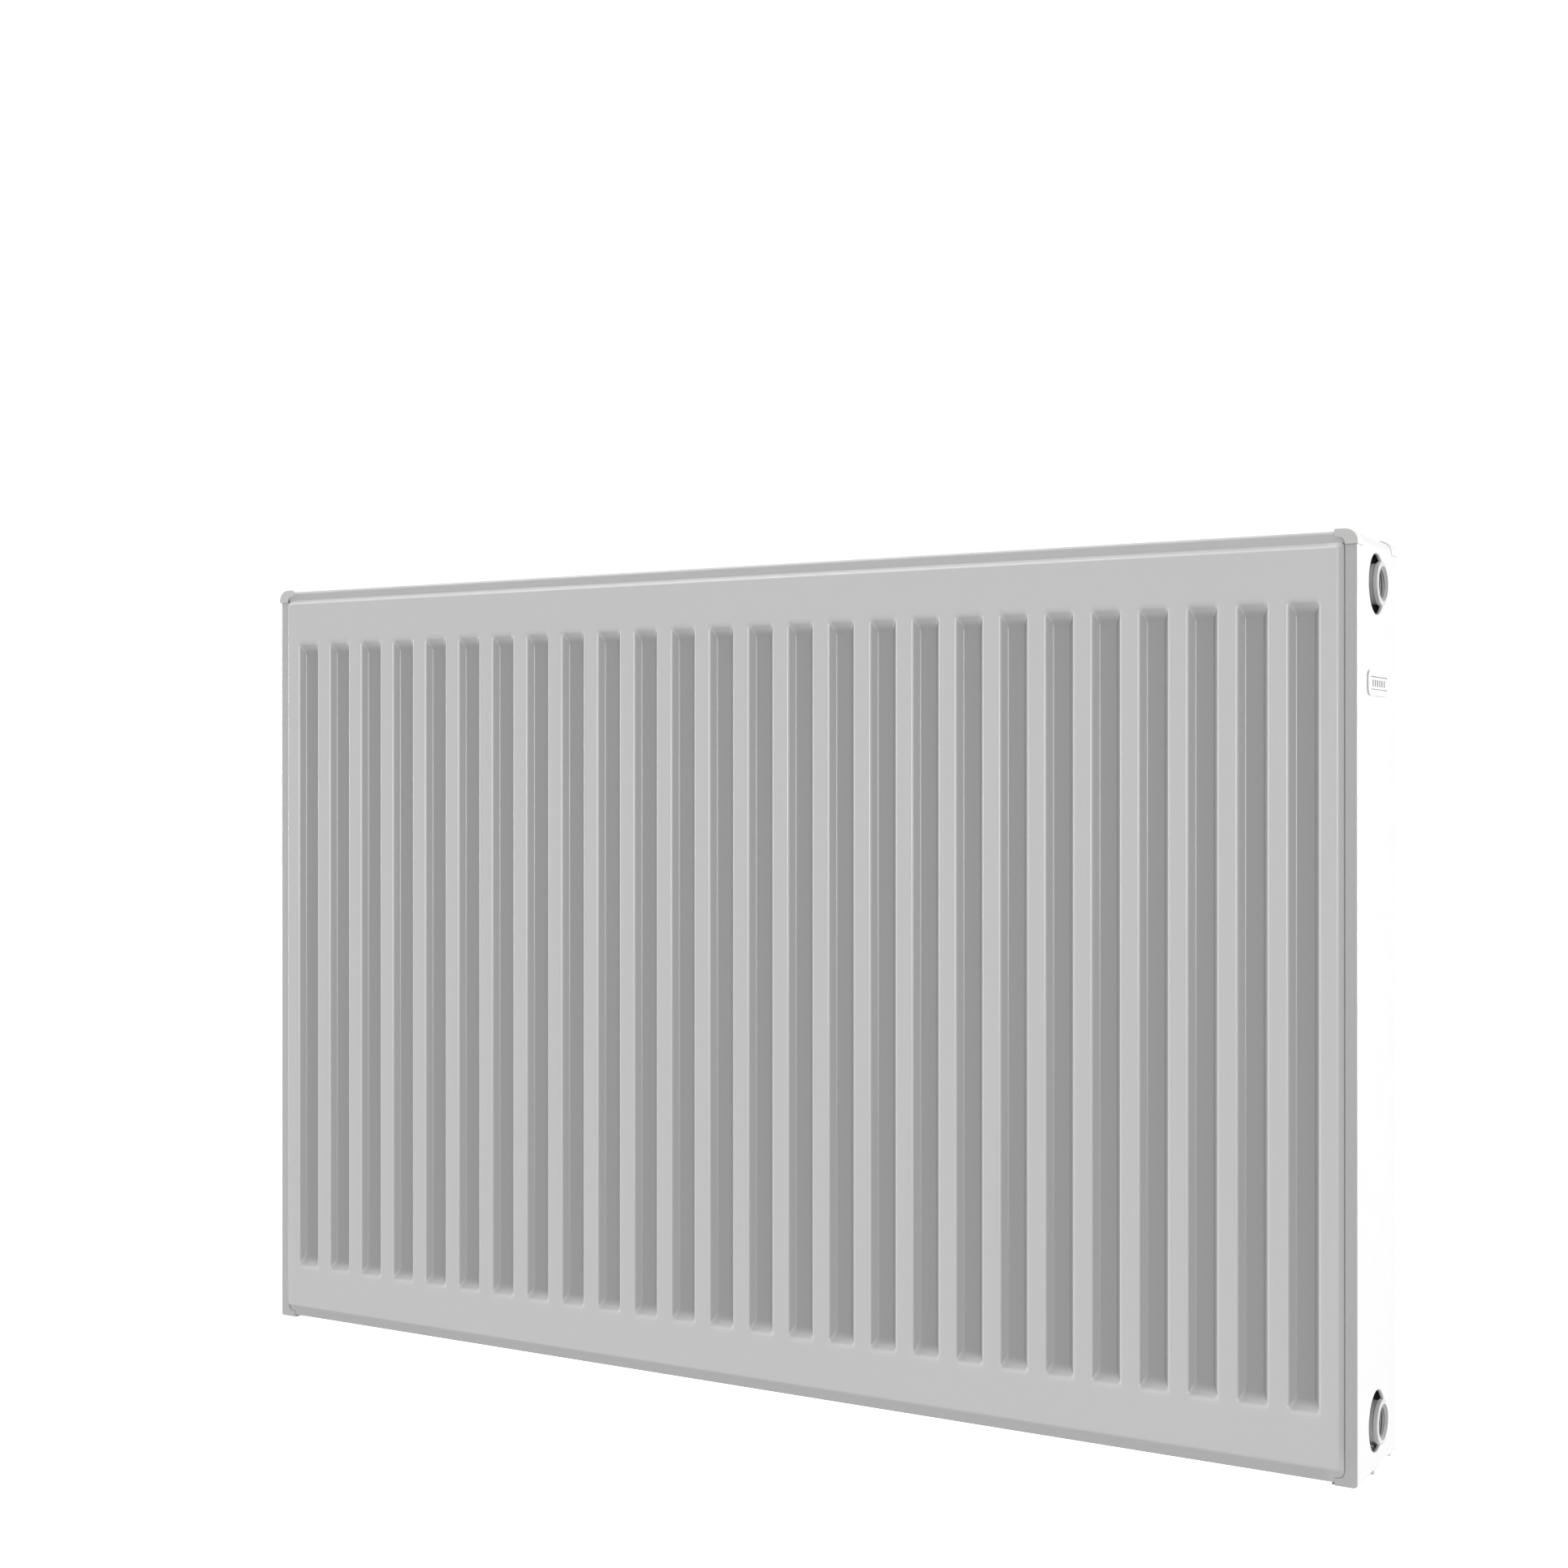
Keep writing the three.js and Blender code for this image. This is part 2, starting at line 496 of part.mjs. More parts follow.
function grilleClipGeometry() {
  const steel = TRIM;
  const under = GRILLE_TOP - TRIM - GAP - steel / 2;
  const leg = PANEL_THICK + GAP + steel / 2;
  const front = [[leg, under - STRAP_DROP], [leg, under - STRAP_BEND], [leg + STRAP_BEND, under]];
  const line = [...front, ...front.map(([y, z]) => [DEPTH - y, z]).reverse()];
  return toGeometry(prismX(strip(line, steel), -CLIP_STRAP_HALF, CLIP_STRAP_HALF));
}

const grilleClip = grilleClipGeometry();
for (const [place, x] of Object.entries(STRAP_PLACES)) {
  addMesh(`grille_clip_${place}`, grilleClip.clone(), nickel, { x });
}

// ---- Badge on the right cover -------------------------------------------------------------
const BADGE_HALF_LENGTH = 24.5;
const BADGE_HALF_HEIGHT = 8.2;
const BADGE_Z = 506;
const BADGE_CORNER = 5;
const BADGE_THICK = 1;

function badgeGeometry() {
  const shape = new THREE.Shape();
  const y0 = MID_DEPTH - BADGE_HALF_LENGTH;
  const y1 = MID_DEPTH + BADGE_HALF_LENGTH;
  const z0 = BADGE_Z - BADGE_HALF_HEIGHT;
  const z1 = BADGE_Z + BADGE_HALF_HEIGHT;
  shape.absarc(y1 - BADGE_CORNER, z0 + BADGE_CORNER, BADGE_CORNER, -Math.PI / 2, 0);
  shape.absarc(y1 - BADGE_CORNER, z1 - BADGE_CORNER, BADGE_CORNER, 0, Math.PI / 2);
  shape.absarc(y0 + BADGE_CORNER, z1 - BADGE_CORNER, BADGE_CORNER, Math.PI / 2, Math.PI);
  shape.absarc(y0 + BADGE_CORNER, z0 + BADGE_CORNER, BADGE_CORNER, Math.PI, 1.5 * Math.PI);
  return toGeometry(prismX(shape, HALF + GAP, HALF + GAP + BADGE_THICK));
}

addMesh('badge', badgeGeometry(), plastic);

// ---- Plugs in the two left sockets --------------------------------------------------------
// Drawn pointing along +X from the socket's end face at x = 0, then turned to point left.
const SEAL_THICK = 1.3;
const SEAL_WIDTH = 3.3;
const PLUG_HEX = 12.7;             // corner radius, 22 mm across flats
const HEX_THICK = 5;
const SHANK_RADIUS = 9;
const SHANK_REACH = 10;
const SCREW_HOLE = 3.2;
const SCREW_RADIUS = 2.9;
const SCREW_ROUND = 12;            // facets on the bleed screw and its hole
const STUB_RADIUS = 6;
const STUB_REACH = 6.2;
const KEY_HALF = 4;                // square recess for the blanking plug's key
const KEY_DEPTH = 3;
const hexFace = GAP + SEAL_THICK + GAP;
const hexEnd = hexFace + HEX_THICK;
const stubEnd = hexEnd + STUB_REACH;

const sealIn = SHANK_RADIUS + GAP;
const sealOut = sealIn + SEAL_WIDTH;
const seal = toGeometry(turnedX([
  [sealIn, GAP], [sealOut, GAP], [sealOut, GAP + SEAL_THICK], [sealIn, GAP + SEAL_THICK], [sealIn, GAP],
]));
const plugBody = rodX(SHANK_RADIUS, -SHANK_REACH, hexFace + OVERCUT)
  .add(rodX(PLUG_HEX, hexFace, hexEnd, 6));
const bleedPlug = toGeometry(plugBody.add(rodX(STUB_RADIUS, hexEnd - OVERCUT, stubEnd))
  .subtract(rodX(SCREW_HOLE, -SHANK_REACH - OVERCUT, stubEnd + OVERCUT, SCREW_ROUND)));
const keyRecess = block(hexEnd - KEY_DEPTH, hexEnd + OVERCUT, -KEY_HALF, KEY_HALF, -KEY_HALF, KEY_HALF);
const blankingPlug = toGeometry(plugBody.subtract(keyRecess));

const OUTLET_RADIUS = 9;
const OUTLET_INSET = 0.5;          // the outlet stops this short of the stub's end
const SPOUT_RADIUS = 2;
const SPOUT_BORE = 1;
const SPOUT_END = 15.5;            // from the plug's axis to the spout's mouth
const SPOUT_ROOT = 7.5;
const outletStart = hexEnd + GAP;
const outletEnd = stubEnd - OUTLET_INSET;
const outletRing = rodX(OUTLET_RADIUS, outletStart, outletEnd)
  .subtract(rodX(STUB_RADIUS + GAP, hexEnd, stubEnd));
const spoutRod = (radius, from, to) =>
  toSolid(new THREE.CylinderGeometry(radius, radius, to - from, SMALL_ROUND).rotateX(Math.PI / 2))
    .translate([(outletStart + outletEnd) / 2, 0, -(from + to) / 2]);
const spout = spoutRod(SPOUT_RADIUS, SPOUT_ROOT, SPOUT_END);
const spoutBore = spoutRod(SPOUT_BORE, SPOUT_ROOT + OVERCUT, SPOUT_END + OVERCUT);
const outlet = toGeometry(outletRing.add(spout).subtract(spoutBore));

const SQUARE_HALF = 2.5;
const SQUARE_REACH = 4.5;
const SHANK_SHORT = 2;             // the bleed screw ends this far inside the plug's shank
const screw = toGeometry(rodX(SCREW_RADIUS, SHANK_SHORT - SHANK_REACH, stubEnd + OVERCUT, SCREW_ROUND)
  .add(block(stubEnd, stubEnd + SQUARE_REACH, -SQUARE_HALF, SQUARE_HALF, -SQUARE_HALF, SQUARE_HALF)));

const leftSocket = (level) => ({ x: -SOCKET_END, y: MID_DEPTH, z: teeHeights[level], turn: Math.PI });
addMesh('bleed_plug', bleedPlug, nickel, leftSocket('top'));
addMesh('bleed_plug_seal', seal, rubber, leftSocket('top'));
addMesh('bleed_outlet', outlet, plastic, leftSocket('top'));
addMesh('bleed_screw', screw, brass, leftSocket('top'));
addMesh('blanking_plug', blankingPlug, nickel, leftSocket('bottom'));
addMesh('blanking_plug_seal', seal.clone(), rubber, leftSocket('bottom'));

export default radiator;
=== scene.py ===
"""A double-panel steel radiator: its pressed, folded and turned pieces, their finishes, and a plain studio.

Pieces are drawn in millimetres: x from mid length, y back from the front face, z up from the bottom rim.
"""

import json
import math

import bmesh
import bpy
from mathutils import Matrix, Vector
from mathutils.geometry import delaunay_2d_cdt


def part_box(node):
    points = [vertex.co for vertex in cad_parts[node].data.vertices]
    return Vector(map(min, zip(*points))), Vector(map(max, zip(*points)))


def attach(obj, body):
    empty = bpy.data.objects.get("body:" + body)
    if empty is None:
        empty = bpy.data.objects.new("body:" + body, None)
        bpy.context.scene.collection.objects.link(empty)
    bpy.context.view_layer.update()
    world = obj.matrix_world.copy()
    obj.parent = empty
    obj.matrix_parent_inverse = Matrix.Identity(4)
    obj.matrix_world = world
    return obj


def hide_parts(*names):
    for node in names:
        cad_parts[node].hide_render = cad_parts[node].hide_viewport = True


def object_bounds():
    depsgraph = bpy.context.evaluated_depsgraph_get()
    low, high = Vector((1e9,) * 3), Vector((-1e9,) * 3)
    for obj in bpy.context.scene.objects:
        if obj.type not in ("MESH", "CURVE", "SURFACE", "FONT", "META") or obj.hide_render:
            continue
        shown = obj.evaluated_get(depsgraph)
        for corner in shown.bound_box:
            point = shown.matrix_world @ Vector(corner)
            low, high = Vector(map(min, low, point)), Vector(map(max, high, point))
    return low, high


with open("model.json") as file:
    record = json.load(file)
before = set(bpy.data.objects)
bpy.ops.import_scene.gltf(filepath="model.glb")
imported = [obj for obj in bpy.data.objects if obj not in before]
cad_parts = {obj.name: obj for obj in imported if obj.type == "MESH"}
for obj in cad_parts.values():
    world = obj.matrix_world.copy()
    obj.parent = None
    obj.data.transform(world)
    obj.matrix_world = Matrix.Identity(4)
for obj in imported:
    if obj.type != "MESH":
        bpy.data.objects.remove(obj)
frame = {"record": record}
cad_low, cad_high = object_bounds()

# ---- Sizes taken from the frame ----
MM = 0.001


def in_drawing(node):
    """A CAD node's lowest and highest corners, in the drawing's millimetres."""
    low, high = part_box(node)
    return (low - ORIGIN) / MM, (high - ORIGIN) / MM


sheet_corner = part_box("front_panel_outer_sheet")[0]
ORIGIN = Vector((0, sheet_corner.y, sheet_corner.z))
sheet_high = in_drawing("front_panel_outer_sheet")[1]
grille_low, grille_high = in_drawing("top_grille")
clip_low, clip_high = in_drawing("corner_clip_right_front")
tee_low, tee_high = in_drawing("tee_connection_right_bottom")
lug_low, lug_high = in_drawing("hanger_lug_right_top")
wave_low, wave_high = in_drawing("front_convector")

RIM_X = sheet_high.x
RIM_TOP = sheet_high.z
SHEET_BACK = sheet_high.y
DEPTH = in_drawing("rear_panel_outer_sheet")[1].y
MID_DEPTH = DEPTH / 2
HALF = in_drawing("side_cover_right")[1].x
TEE_Z = {"bottom": (tee_low.z + tee_high.z) / 2,
         "top": sum(c.z for c in in_drawing("tee_connection_right_top")) / 2}
MID_HEIGHT = (TEE_Z["bottom"] + TEE_Z["top"]) / 2
SOCKET_END = tee_high.x

SHEET = 1.2
TRIM = 0.8
PITCH = 100 / 3
FLUTES = 26
PRESS_DEPTH = SHEET_BACK - SHEET
PANEL_THICK = in_drawing("front_panel_inner_sheet")[1].y
REAR_PANEL_Y = DEPTH - PANEL_THICK
GAP = 0.3  # clearance between pieces that don't touch
OVERCUT = 1  # a cutter runs this far past what it cuts


# ---- Outlines ----
def arc(centre_u, centre_v, radius, start, end, steps):
    """Points on an arc, from one angle in degrees to another."""
    angles = [math.radians(start + (end - start) * k / steps) for k in range(steps + 1)]
    return [(centre_u + radius * math.cos(a), centre_v + radius * math.sin(a)) for a in angles]


def rounded_box(u0, u1, v0, v1, radii, steps):
    """A rectangle with round corners. radii are those at the low and the high end of v."""
    low, high = radii
    return (arc(u0 + low, v0 + low, low, 180, 270, steps) + arc(u1 - low, v0 + low, low, 270, 360, steps)
            + arc(u1 - high, v1 - high, high, 0, 90, steps) + arc(u0 + high, v1 - high, high, 90, 180, steps))


def centred_box(u, v, half_u, half_v, radius, steps):
    """A rectangle with equal round corners about a point."""
    return rounded_box(u - half_u, u + half_u, v - half_v, v + half_v, (radius, radius), steps)


def spread(count, pitch):
    """Evenly spaced places with zero in their middle."""
    return [(k - (count - 1) / 2) * pitch for k in range(count)]


def stadium(u, v, reach, radius, steps):
    """A slot with half-round ends, `reach` from its middle to each end along v."""
    straight = reach - radius
    return arc(u, v - straight, radius, 180, 360, steps) + arc(u, v + straight, radius, 0, 180, steps)


def rounded_line(points, radius, steps=4):
    """A bent line with each of its inner corners turned into an arc."""
    corners = [Vector(p) for p in points]
    line = [corners[0]]
    for before, corner, after in zip(corners, corners[1:], corners[2:]):
        back, ahead = (before - corner).normalized(), (after - corner).normalized()
        half = back.angle(ahead) / 2
        centre = corner + (back + ahead).normalized() * radius / math.sin(half)
        start = corner + back * radius / math.tan(half) - centre
        end = corner + ahead * radius / math.tan(half) - centre
        first = math.atan2(start.y, start.x)
        sweep = (math.atan2(end.y, end.x) - first + math.pi) % (2 * math.pi) - math.pi
        for k in range(steps + 1):
            angle = first + sweep * k / steps
            line.append(centre + Vector((math.cos(angle), math.sin(angle))) * radius)
    line.append(corners[-1])
    return line


def step_profile(run, depth, lip, fillet, steps):
    """A pressed step in sheet, as (across, down) points: round lip, straight slope, round fillet."""
    shallow, steep = math.radians(5), math.radians(89)
    for _ in range(60):
        slope = (shallow + steep) / 2
        straight = (depth - (lip + fillet) * (1 - math.cos(slope))) / math.sin(slope)
        reach = (lip + fillet) * math.sin(slope) + straight * math.cos(slope)
        shallow, steep = (slope, steep) if reach > run else (shallow, slope)
    turns = [slope * k / steps for k in range(steps + 1)]
    top = [(lip * math.sin(a), lip * (1 - math.cos(a))) for a in turns]
    foot = [(run - fillet * math.sin(a), depth - fillet * (1 - math.cos(a))) for a in reversed(turns)]
    return top + foot


# ---- Meshes ----
def loop_of(bm, points):
    return [bm.verts.new(p) for p in points]


def bridge(bm, first, second, closed=True):
    """A band of quads between two rows of vertices."""
    count = len(first)
    for i in range(count if closed else count - 1):
        j = (i + 1) % count
        bm.faces.new((first[i], first[j], second[j], second[i]))


def bridge_rows(bm, rows, closed=True):
    for first, second in zip(rows, rows[1:]):
        bridge(bm, first, second, closed)


def outward(bm):
    """The same drawing with its faces pointing out."""
    bmesh.ops.recalc_face_normals(bm, faces=bm.faces)
    return bm


def ring_edges(start, count):
    """The edges of a closed row of points, as pairs of indices."""
    return [(start + i, start + (i + 1) % count) for i in range(count)]


def fill_plane(bm, outer, holes):
    """Fills the flat stretch, square to Y, that is inside `outer` and outside the convex `holes`."""
    verts, owner, edges = [], [], []
    for k, row in enumerate([outer] + holes):
        edges += ring_edges(len(verts), len(row))
        verts += row
        owner += [k] * len(row)
    made = delaunay_2d_cdt([Vector((v.co.x, v.co.z)) for v in verts], edges, [], 1, 1e-6)
    for corners in made[2]:
        own = [made[3][c][0] for c in corners]
        rows = {owner[i] for i in own}
        if len(rows) > 1 or 0 in rows:
            bm.faces.new([verts[i] for i in own])


def thicken(bm, shift):
    """Closes an open surface into a sheet: a copy moved by `shift`, and a band round every open edge."""
    front = list(bm.faces)
    rims = [e for e in bm.edges if len(e.link_faces) == 1]
    rims = [tuple(v.index for v in rim_in_face_order(e)) for e in rims]
    copies = {v.index: bm.verts.new(v.co + Vector(shift)) for v in list(bm.verts)}
    bm.verts.ensure_lookup_table()
    for face in front:
        bm.faces.new([copies[v.index] for v in reversed(face.verts)])
    for a, b in rims:
        bm.faces.new((bm.verts[b], bm.verts[a], copies[a], copies[b]))


def rim_in_face_order(edge):
    """An open edge's two vertices, in the order that its one face runs through them."""
    face = edge.link_faces[0]
    for loop in face.loops:
        if loop.edge == edge:
            return loop.vert, loop.link_loop_next.vert


def rows_along(bm, axis, outlines):
    """Rows of vertices from (outline, place) pairs: flat outlines, each at its place along an axis."""
    def spot(u, v, w):
        return {"X": (w, u, v), "Y": (u, w, v), "Z": (u, v, w)}[axis]

    return [loop_of(bm, [spot(u, v, w) for u, v in outline]) for outline, w in outlines]


def prism(outline, axis, low, high):
    """A closed outline made thick along an axis: 'X' takes (y, z) points, 'Y' (x, z) and 'Z' (x, y)."""
    bm = bmesh.new()
    rows = rows_along(bm, axis, [(outline, low), (outline, high)])
    bridge(bm, rows[0], rows[1])
    bm.faces.new(rows[0])
    bm.faces.new(rows[1])
    return outward(bm)


def strip(line, thickness, axis, low, high):
    """Strip of the given thickness along a line of points, made as wide as low to high along an axis."""
    sides = []
    for sign in (-0.5, 0.5):
        row = []
        for i, p in enumerate(line):
            before = (p - line[i - 1]).normalized() if i else None
            after = (line[i + 1] - p).normalized() if i + 1 < len(line) else before
            before = before or after
            across = Vector((-before.y - after.y, before.x + after.x)).normalized()
            stretch = across.dot(Vector((-after.y, after.x)))
            row.append(p + across * sign * thickness / stretch)
        sides.append(row)
    bm = bmesh.new()
    rows = rows_along(bm, axis, [(sides[0], low), (sides[1], low), (sides[1], high), (sides[0], high)])
    bridge_rows(bm, rows + rows[:1], closed=False)
    for end in (0, -1):
        bm.faces.new([row[end] for row in rows])
    return outward(bm)


def turned(profile, segments=64):
    """A shape turned about an axis along X, from (radius, x) points that end on the axis or form a ring."""
    bm = bmesh.new()
    rows = []
    for radius, x in profile:
        if radius < 1e-6:
            rows.append([bm.verts.new((x, 0, 0))] * segments)
        else:
            rows.append(loop_of(bm, [(x, u, v) for u, v in arc(0, 0, radius, 0, 360, segments)[:-1]]))
    pairs = list(zip(rows, rows[1:]))
    if profile[0][0] > 1e-6:
        pairs.append((rows[-1], rows[0]))
    for first, second in pairs:
        for i in range(segments):
            j = (i + 1) % segments
            ring = [first[i], first[j], second[j], second[i]]
            corners = [v for n, v in enumerate(ring) if v not in ring[:n]]
            if len(corners) > 2:
                bm.faces.new(corners)
    return outward(bm)


def mesh_data(name, bm):
    """A drawing turned into mesh data. The drawing is used up."""
    mesh = bpy.data.meshes.new(name)
    bm.to_mesh(mesh)
    bm.free()
    return mesh


def placed(name, data):
    """A new object in the scene."""
    o = bpy.data.objects.new(name, data)
    bpy.context.scene.collection.objects.link(o)
    return o


def applied(*scratch):
    """A drawing of the first scratch object with its modifiers applied. The scratch objects are removed."""
    result = bmesh.new()
    result.from_object(scratch[0], bpy.context.evaluated_depsgraph_get())
    for o in scratch:
        mesh = o.data
        bpy.data.objects.remove(o)
        bpy.data.meshes.remove(mesh)
    return result


def combine(target, other, operation):
    """Joins, cuts or intersects two closed meshes: operation is UNION, DIFFERENCE or INTERSECT."""
    first, second = [placed("scratch", mesh_data("scratch", bm)) for bm in (target, other)]
    modifier = first.modifiers.new("combine", "BOOLEAN")
    modifier.operation = operation
    modifier.object = second
    modifier.solver = "EXACT"
    return applied(first, second)


def fused(body, *others):
    for other in others:
        body = combine(body, other, "UNION")
    return body


def cut(body, *cutters):
    for cutter in cutters:
        body = combine(body, cutter, "DIFFERENCE")
    return body


def walled(bm, thickness):
    """Gives a folded sheet its thickness, half on each side."""
    bm.normal_update()
    o = placed("scratch", mesh_data("scratch", outward(bm)))
    wall = o.modifiers.new("wall", "SOLIDIFY")
    wall.thickness = thickness
    wall.offset = 0
    wall.use_even_offset = True
    return applied(o)


def join(*parts):
    """One mesh that holds several separate closed bodies."""
    result = parts[0]
    for bm in parts[1:]:
        mesh = mesh_data("scratch", bm)
        result.from_mesh(mesh)
        bpy.data.meshes.remove(mesh)
    return result


def mirrored(bm):
    bm.transform(Matrix.Scale(-1, 4, (1, 0, 0)))
    bmesh.ops.reverse_faces(bm, faces=bm.faces)
    return bm


def moved(bm, shift):
    bm.transform(Matrix.Translation(shift))
    return bm


# ---- Pieces ----
record = frame["record"]
BODY_OF = {node: body for body, members in record["behaviour"]["bodies"].items() for node in members}
BEVEL_ABOVE = 38  # degrees that an edge turns before it is rounded


def mesh_of(name, bm, smooth_below=40):
    """The mesh of a drawing, in metres, with sharp edges where it turns more than an angle in degrees."""
    bm.transform(Matrix.Scale(MM, 4))
    mesh = mesh_data(name, bm)
    mesh.shade_smooth()
    mesh.set_sharp_from_angle(angle=math.radians(smooth_below))
    return mesh


def piece(node, mesh, material, at=(0, 0, 0), turn=0.0, bevel=0.0):
    """Puts a mesh in the scene in place of a CAD node, on that node's body and with its finish."""
    o = placed(f"{node}_detail", mesh)
    o.matrix_world = Matrix.Translation(ORIGIN + Vector(at) * MM) @ Matrix.Rotation(turn, 4, "Z")
    if not mesh.materials:
        mesh.materials.append(material)
    if bevel:
        round_edge = o.modifiers.new("round_edge", "BEVEL")
        round_edge.width = bevel * MM
        round_edge.segments = 3
        round_edge.limit_method = "ANGLE"
        round_edge.angle_limit = math.radians(BEVEL_ABOVE)
        round_edge.harden_normals = True
        round_edge.use_clamp_overlap = True
    weighted = o.modifiers.new("weighted", "WEIGHTED_NORMAL")
    weighted.keep_sharp = not bevel
    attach(o, BODY_OF[node])
    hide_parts(node)


# ---- Pressed panel sheets ----
FLUTE_HALF_WIDTH = 11.7  # to the start of the round lip
FLUTE_HALF_LENGTH = 260.4
FLUTE_RUN = 6.65  # from there to the flat floor
FLUTE_END_STRETCH = 2.0  # the ends slope more gently than the sides
FLUTE_LIP, FLUTE_FILLET = 2.2, 2.2
FLUTE_CORNERS = (4.0, 0.8)  # at the mouth and at the floor
FACE_X, FACE_LOW = 437.6, 10.8
FACE_RUN, FACE_END_STRETCH = 4.6, 1.26
FACE_LIP, FACE_FILLET = 1.5, 0.8
FACE_CORNERS = (1.5, 3.5)  # at the face and at the rim
RIM_EDGE, RIM_ROUND = 0.4, 0.3  # the rim's rounded edge, and where the middle of the round lies in it
RIM_CORNERS = (3.0, 7.0)  # low and high corners
CORNER_STEPS = 7
WATERWAY = 8
SUPPORT = 0.25  # a flat margin beside each round stretch, which keeps the flats flat
TEE_X = HALF - 26


def outline_at(half_u, half_v, radius, depth, centre_x=0.0):
    box = centred_box(centre_x, MID_HEIGHT, half_u, half_v, radius, CORNER_STEPS)
    return [(x, depth, z) for x, z in box]


def step_rows(bm, profile, half_u, half_v, stretch, corners, direction, centre_x=0.0):
    """Rows of points down a pressed step, which narrows for a flute (-1) and spreads for the face (1)."""
    run = profile[-1][0]
    points = [(-SUPPORT, 0.0)] + profile + [(run + SUPPORT, profile[-1][1])]
    rows = []
    for across, down in points:
        share = min(max(across / run, 0.0), 1.0)
        radius = corners[0] + (corners[1] - corners[0]) * share
        reach_u = half_u + direction * across
        reach_v = half_v + direction * across * stretch
        rows.append(loop_of(bm, outline_at(reach_u, reach_v, radius, down, centre_x)))
    bridge_rows(bm, rows)
    return rows


def pressed_sheet(with_waterways):
    bm = bmesh.new()
    flute = step_profile(FLUTE_RUN, PRESS_DEPTH, FLUTE_LIP, FLUTE_FILLET, 6)
    flank = step_profile(FACE_RUN, PRESS_DEPTH, FACE_LIP, FACE_FILLET, 6)
    holes = []
    for centre in spread(FLUTES, PITCH):
        rows = step_rows(bm, flute, FLUTE_HALF_WIDTH, FLUTE_HALF_LENGTH, FLUTE_END_STRETCH,
                         FLUTE_CORNERS, -1, centre)
        bm.faces.new(rows[-1])
        holes.append(rows[0])
    if with_waterways:
        for x in (-TEE_X, TEE_X):
            for z in TEE_Z.values():
                ring = arc(x, z, WATERWAY, 0, 360, 32)[:-1]
                holes.append(loop_of(bm, [(u, 0.0, v) for u, v in ring]))
    rows = step_rows(bm, flank, FACE_X, MID_HEIGHT - FACE_LOW, FACE_END_STRETCH, FACE_CORNERS, 1)
    fill_plane(bm, rows[0], holes)
    rim = []
    round_middle = RIM_EDGE * RIM_ROUND
    for inset, back in ((RIM_EDGE, 0.0), (round_middle, round_middle), (0.0, RIM_EDGE)):
        box = rounded_box(-RIM_X + inset, RIM_X - inset, inset, RIM_TOP - inset,
                          (RIM_CORNERS[0] - inset, RIM_CORNERS[1] - inset), CORNER_STEPS)
        rim.append(loop_of(bm, [(x, PRESS_DEPTH + back, z) for x, z in box]))
    fill_plane(bm, rim[0], [rows[-1]])
    bridge_rows(bm, rim)
    return outward(bm)


def close_sheet(bm):
    """Gives a pressed surface its thickness, behind it, without standing proud of the rim."""
    bm.verts.index_update()
    thicken(bm, (0, SHEET, 0))
    for v in bm.verts:
        v.co.y = min(v.co.y, SHEET_BACK)
    bmesh.ops.remove_doubles(bm, verts=bm.verts, dist=1e-4)
    return outward(bm)


def make_panels(enamel):
    outer = mesh_of("panel_outer_sheet", close_sheet(pressed_sheet(False)), 50)
    inner = mesh_of("panel_inner_sheet", close_sheet(pressed_sheet(True)), 50)
    piece("front_panel_outer_sheet", outer, enamel)
    piece("front_panel_inner_sheet", inner, enamel, (0, PANEL_THICK, 0), math.pi)
    piece("rear_panel_inner_sheet", inner, enamel, (0, REAR_PANEL_Y, 0))
    piece("rear_panel_outer_sheet", outer, enamel, (0, DEPTH, 0), math.pi)


# ---- Convectors ----
CONVECTOR_STEEL = 0.4
CONVECTOR_WAVES = 24
FOOT_HALF, CREST_HALF = 4, 5
CONVECTOR_BEND = 1.6


def make_convectors(enamel):
    reach = wave_high.y - wave_low.y
    near, far = CONVECTOR_STEEL / 2, reach - CONVECTOR_STEEL / 2
    line = []
    for k in range(CONVECTOR_WAVES + 1):
        channel = (k - CONVECTOR_WAVES / 2) * PITCH
        line += [(channel - FOOT_HALF, near), (channel + FOOT_HALF, near)]
        if k < CONVECTOR_WAVES:
            crest = channel + PITCH / 2
            line += [(crest - CREST_HALF, far), (crest + CREST_HALF, far)]
    folded = strip(rounded_line(line, CONVECTOR_BEND), CONVECTOR_STEEL, "Z", wave_low.z, wave_high.z)
    mesh = mesh_of("convector", folded)
    piece("front_convector", mesh, enamel, (0, wave_low.y, 0))
    piece("rear_convector", mesh, enamel, (0, DEPTH - wave_low.y, 0), math.pi)


# ---- Tee connections ----
TEE_RADIUS, SOCKET_RADIUS = 13.25, 14.3
HAIR = 0.05  # keeps two tubes of one size from sharing a surface
RING_LENGTH = 3.2  # the socket's wider end
RING_BREAK, RING_ROUND = 0.3, 0.5  # the broken edges at its back and its front
THREAD_PITCH = 1.814
THREAD_MINOR, THREAD_MAJOR = 9.315, 10.4775
THREAD_LENGTH = 14
THREAD_FILL = 0.35  # enamel leaves this share of the thread's depth
THREAD_STEEPNESS, THREAD_CREST = 3.2, 0.3  # its flank, in depths per pitch, less its flat crest
THREAD_STEPS = 8  # rows of points for each turn
MOUTH_CHAMFER = 2.1
THREAD_SEGMENTS = 56
WELD_RADIUS, WELD_SIDES, WELD_RIPPLES = 1.5, 8, 46
WELD_RIPPLE, WELD_SWELL = 0.1, 0.08  # how unevenly it is laid, as shares of its radius
WELD_CENTRE = 0.25  # its middle lies this share of its radius outside the tube
END_DEPTH = 1  # the end's finish starts this far back
END_LIP, END_FLAT = 0.6, 0.9  # and takes in faces that face the end more than this, outside and inside


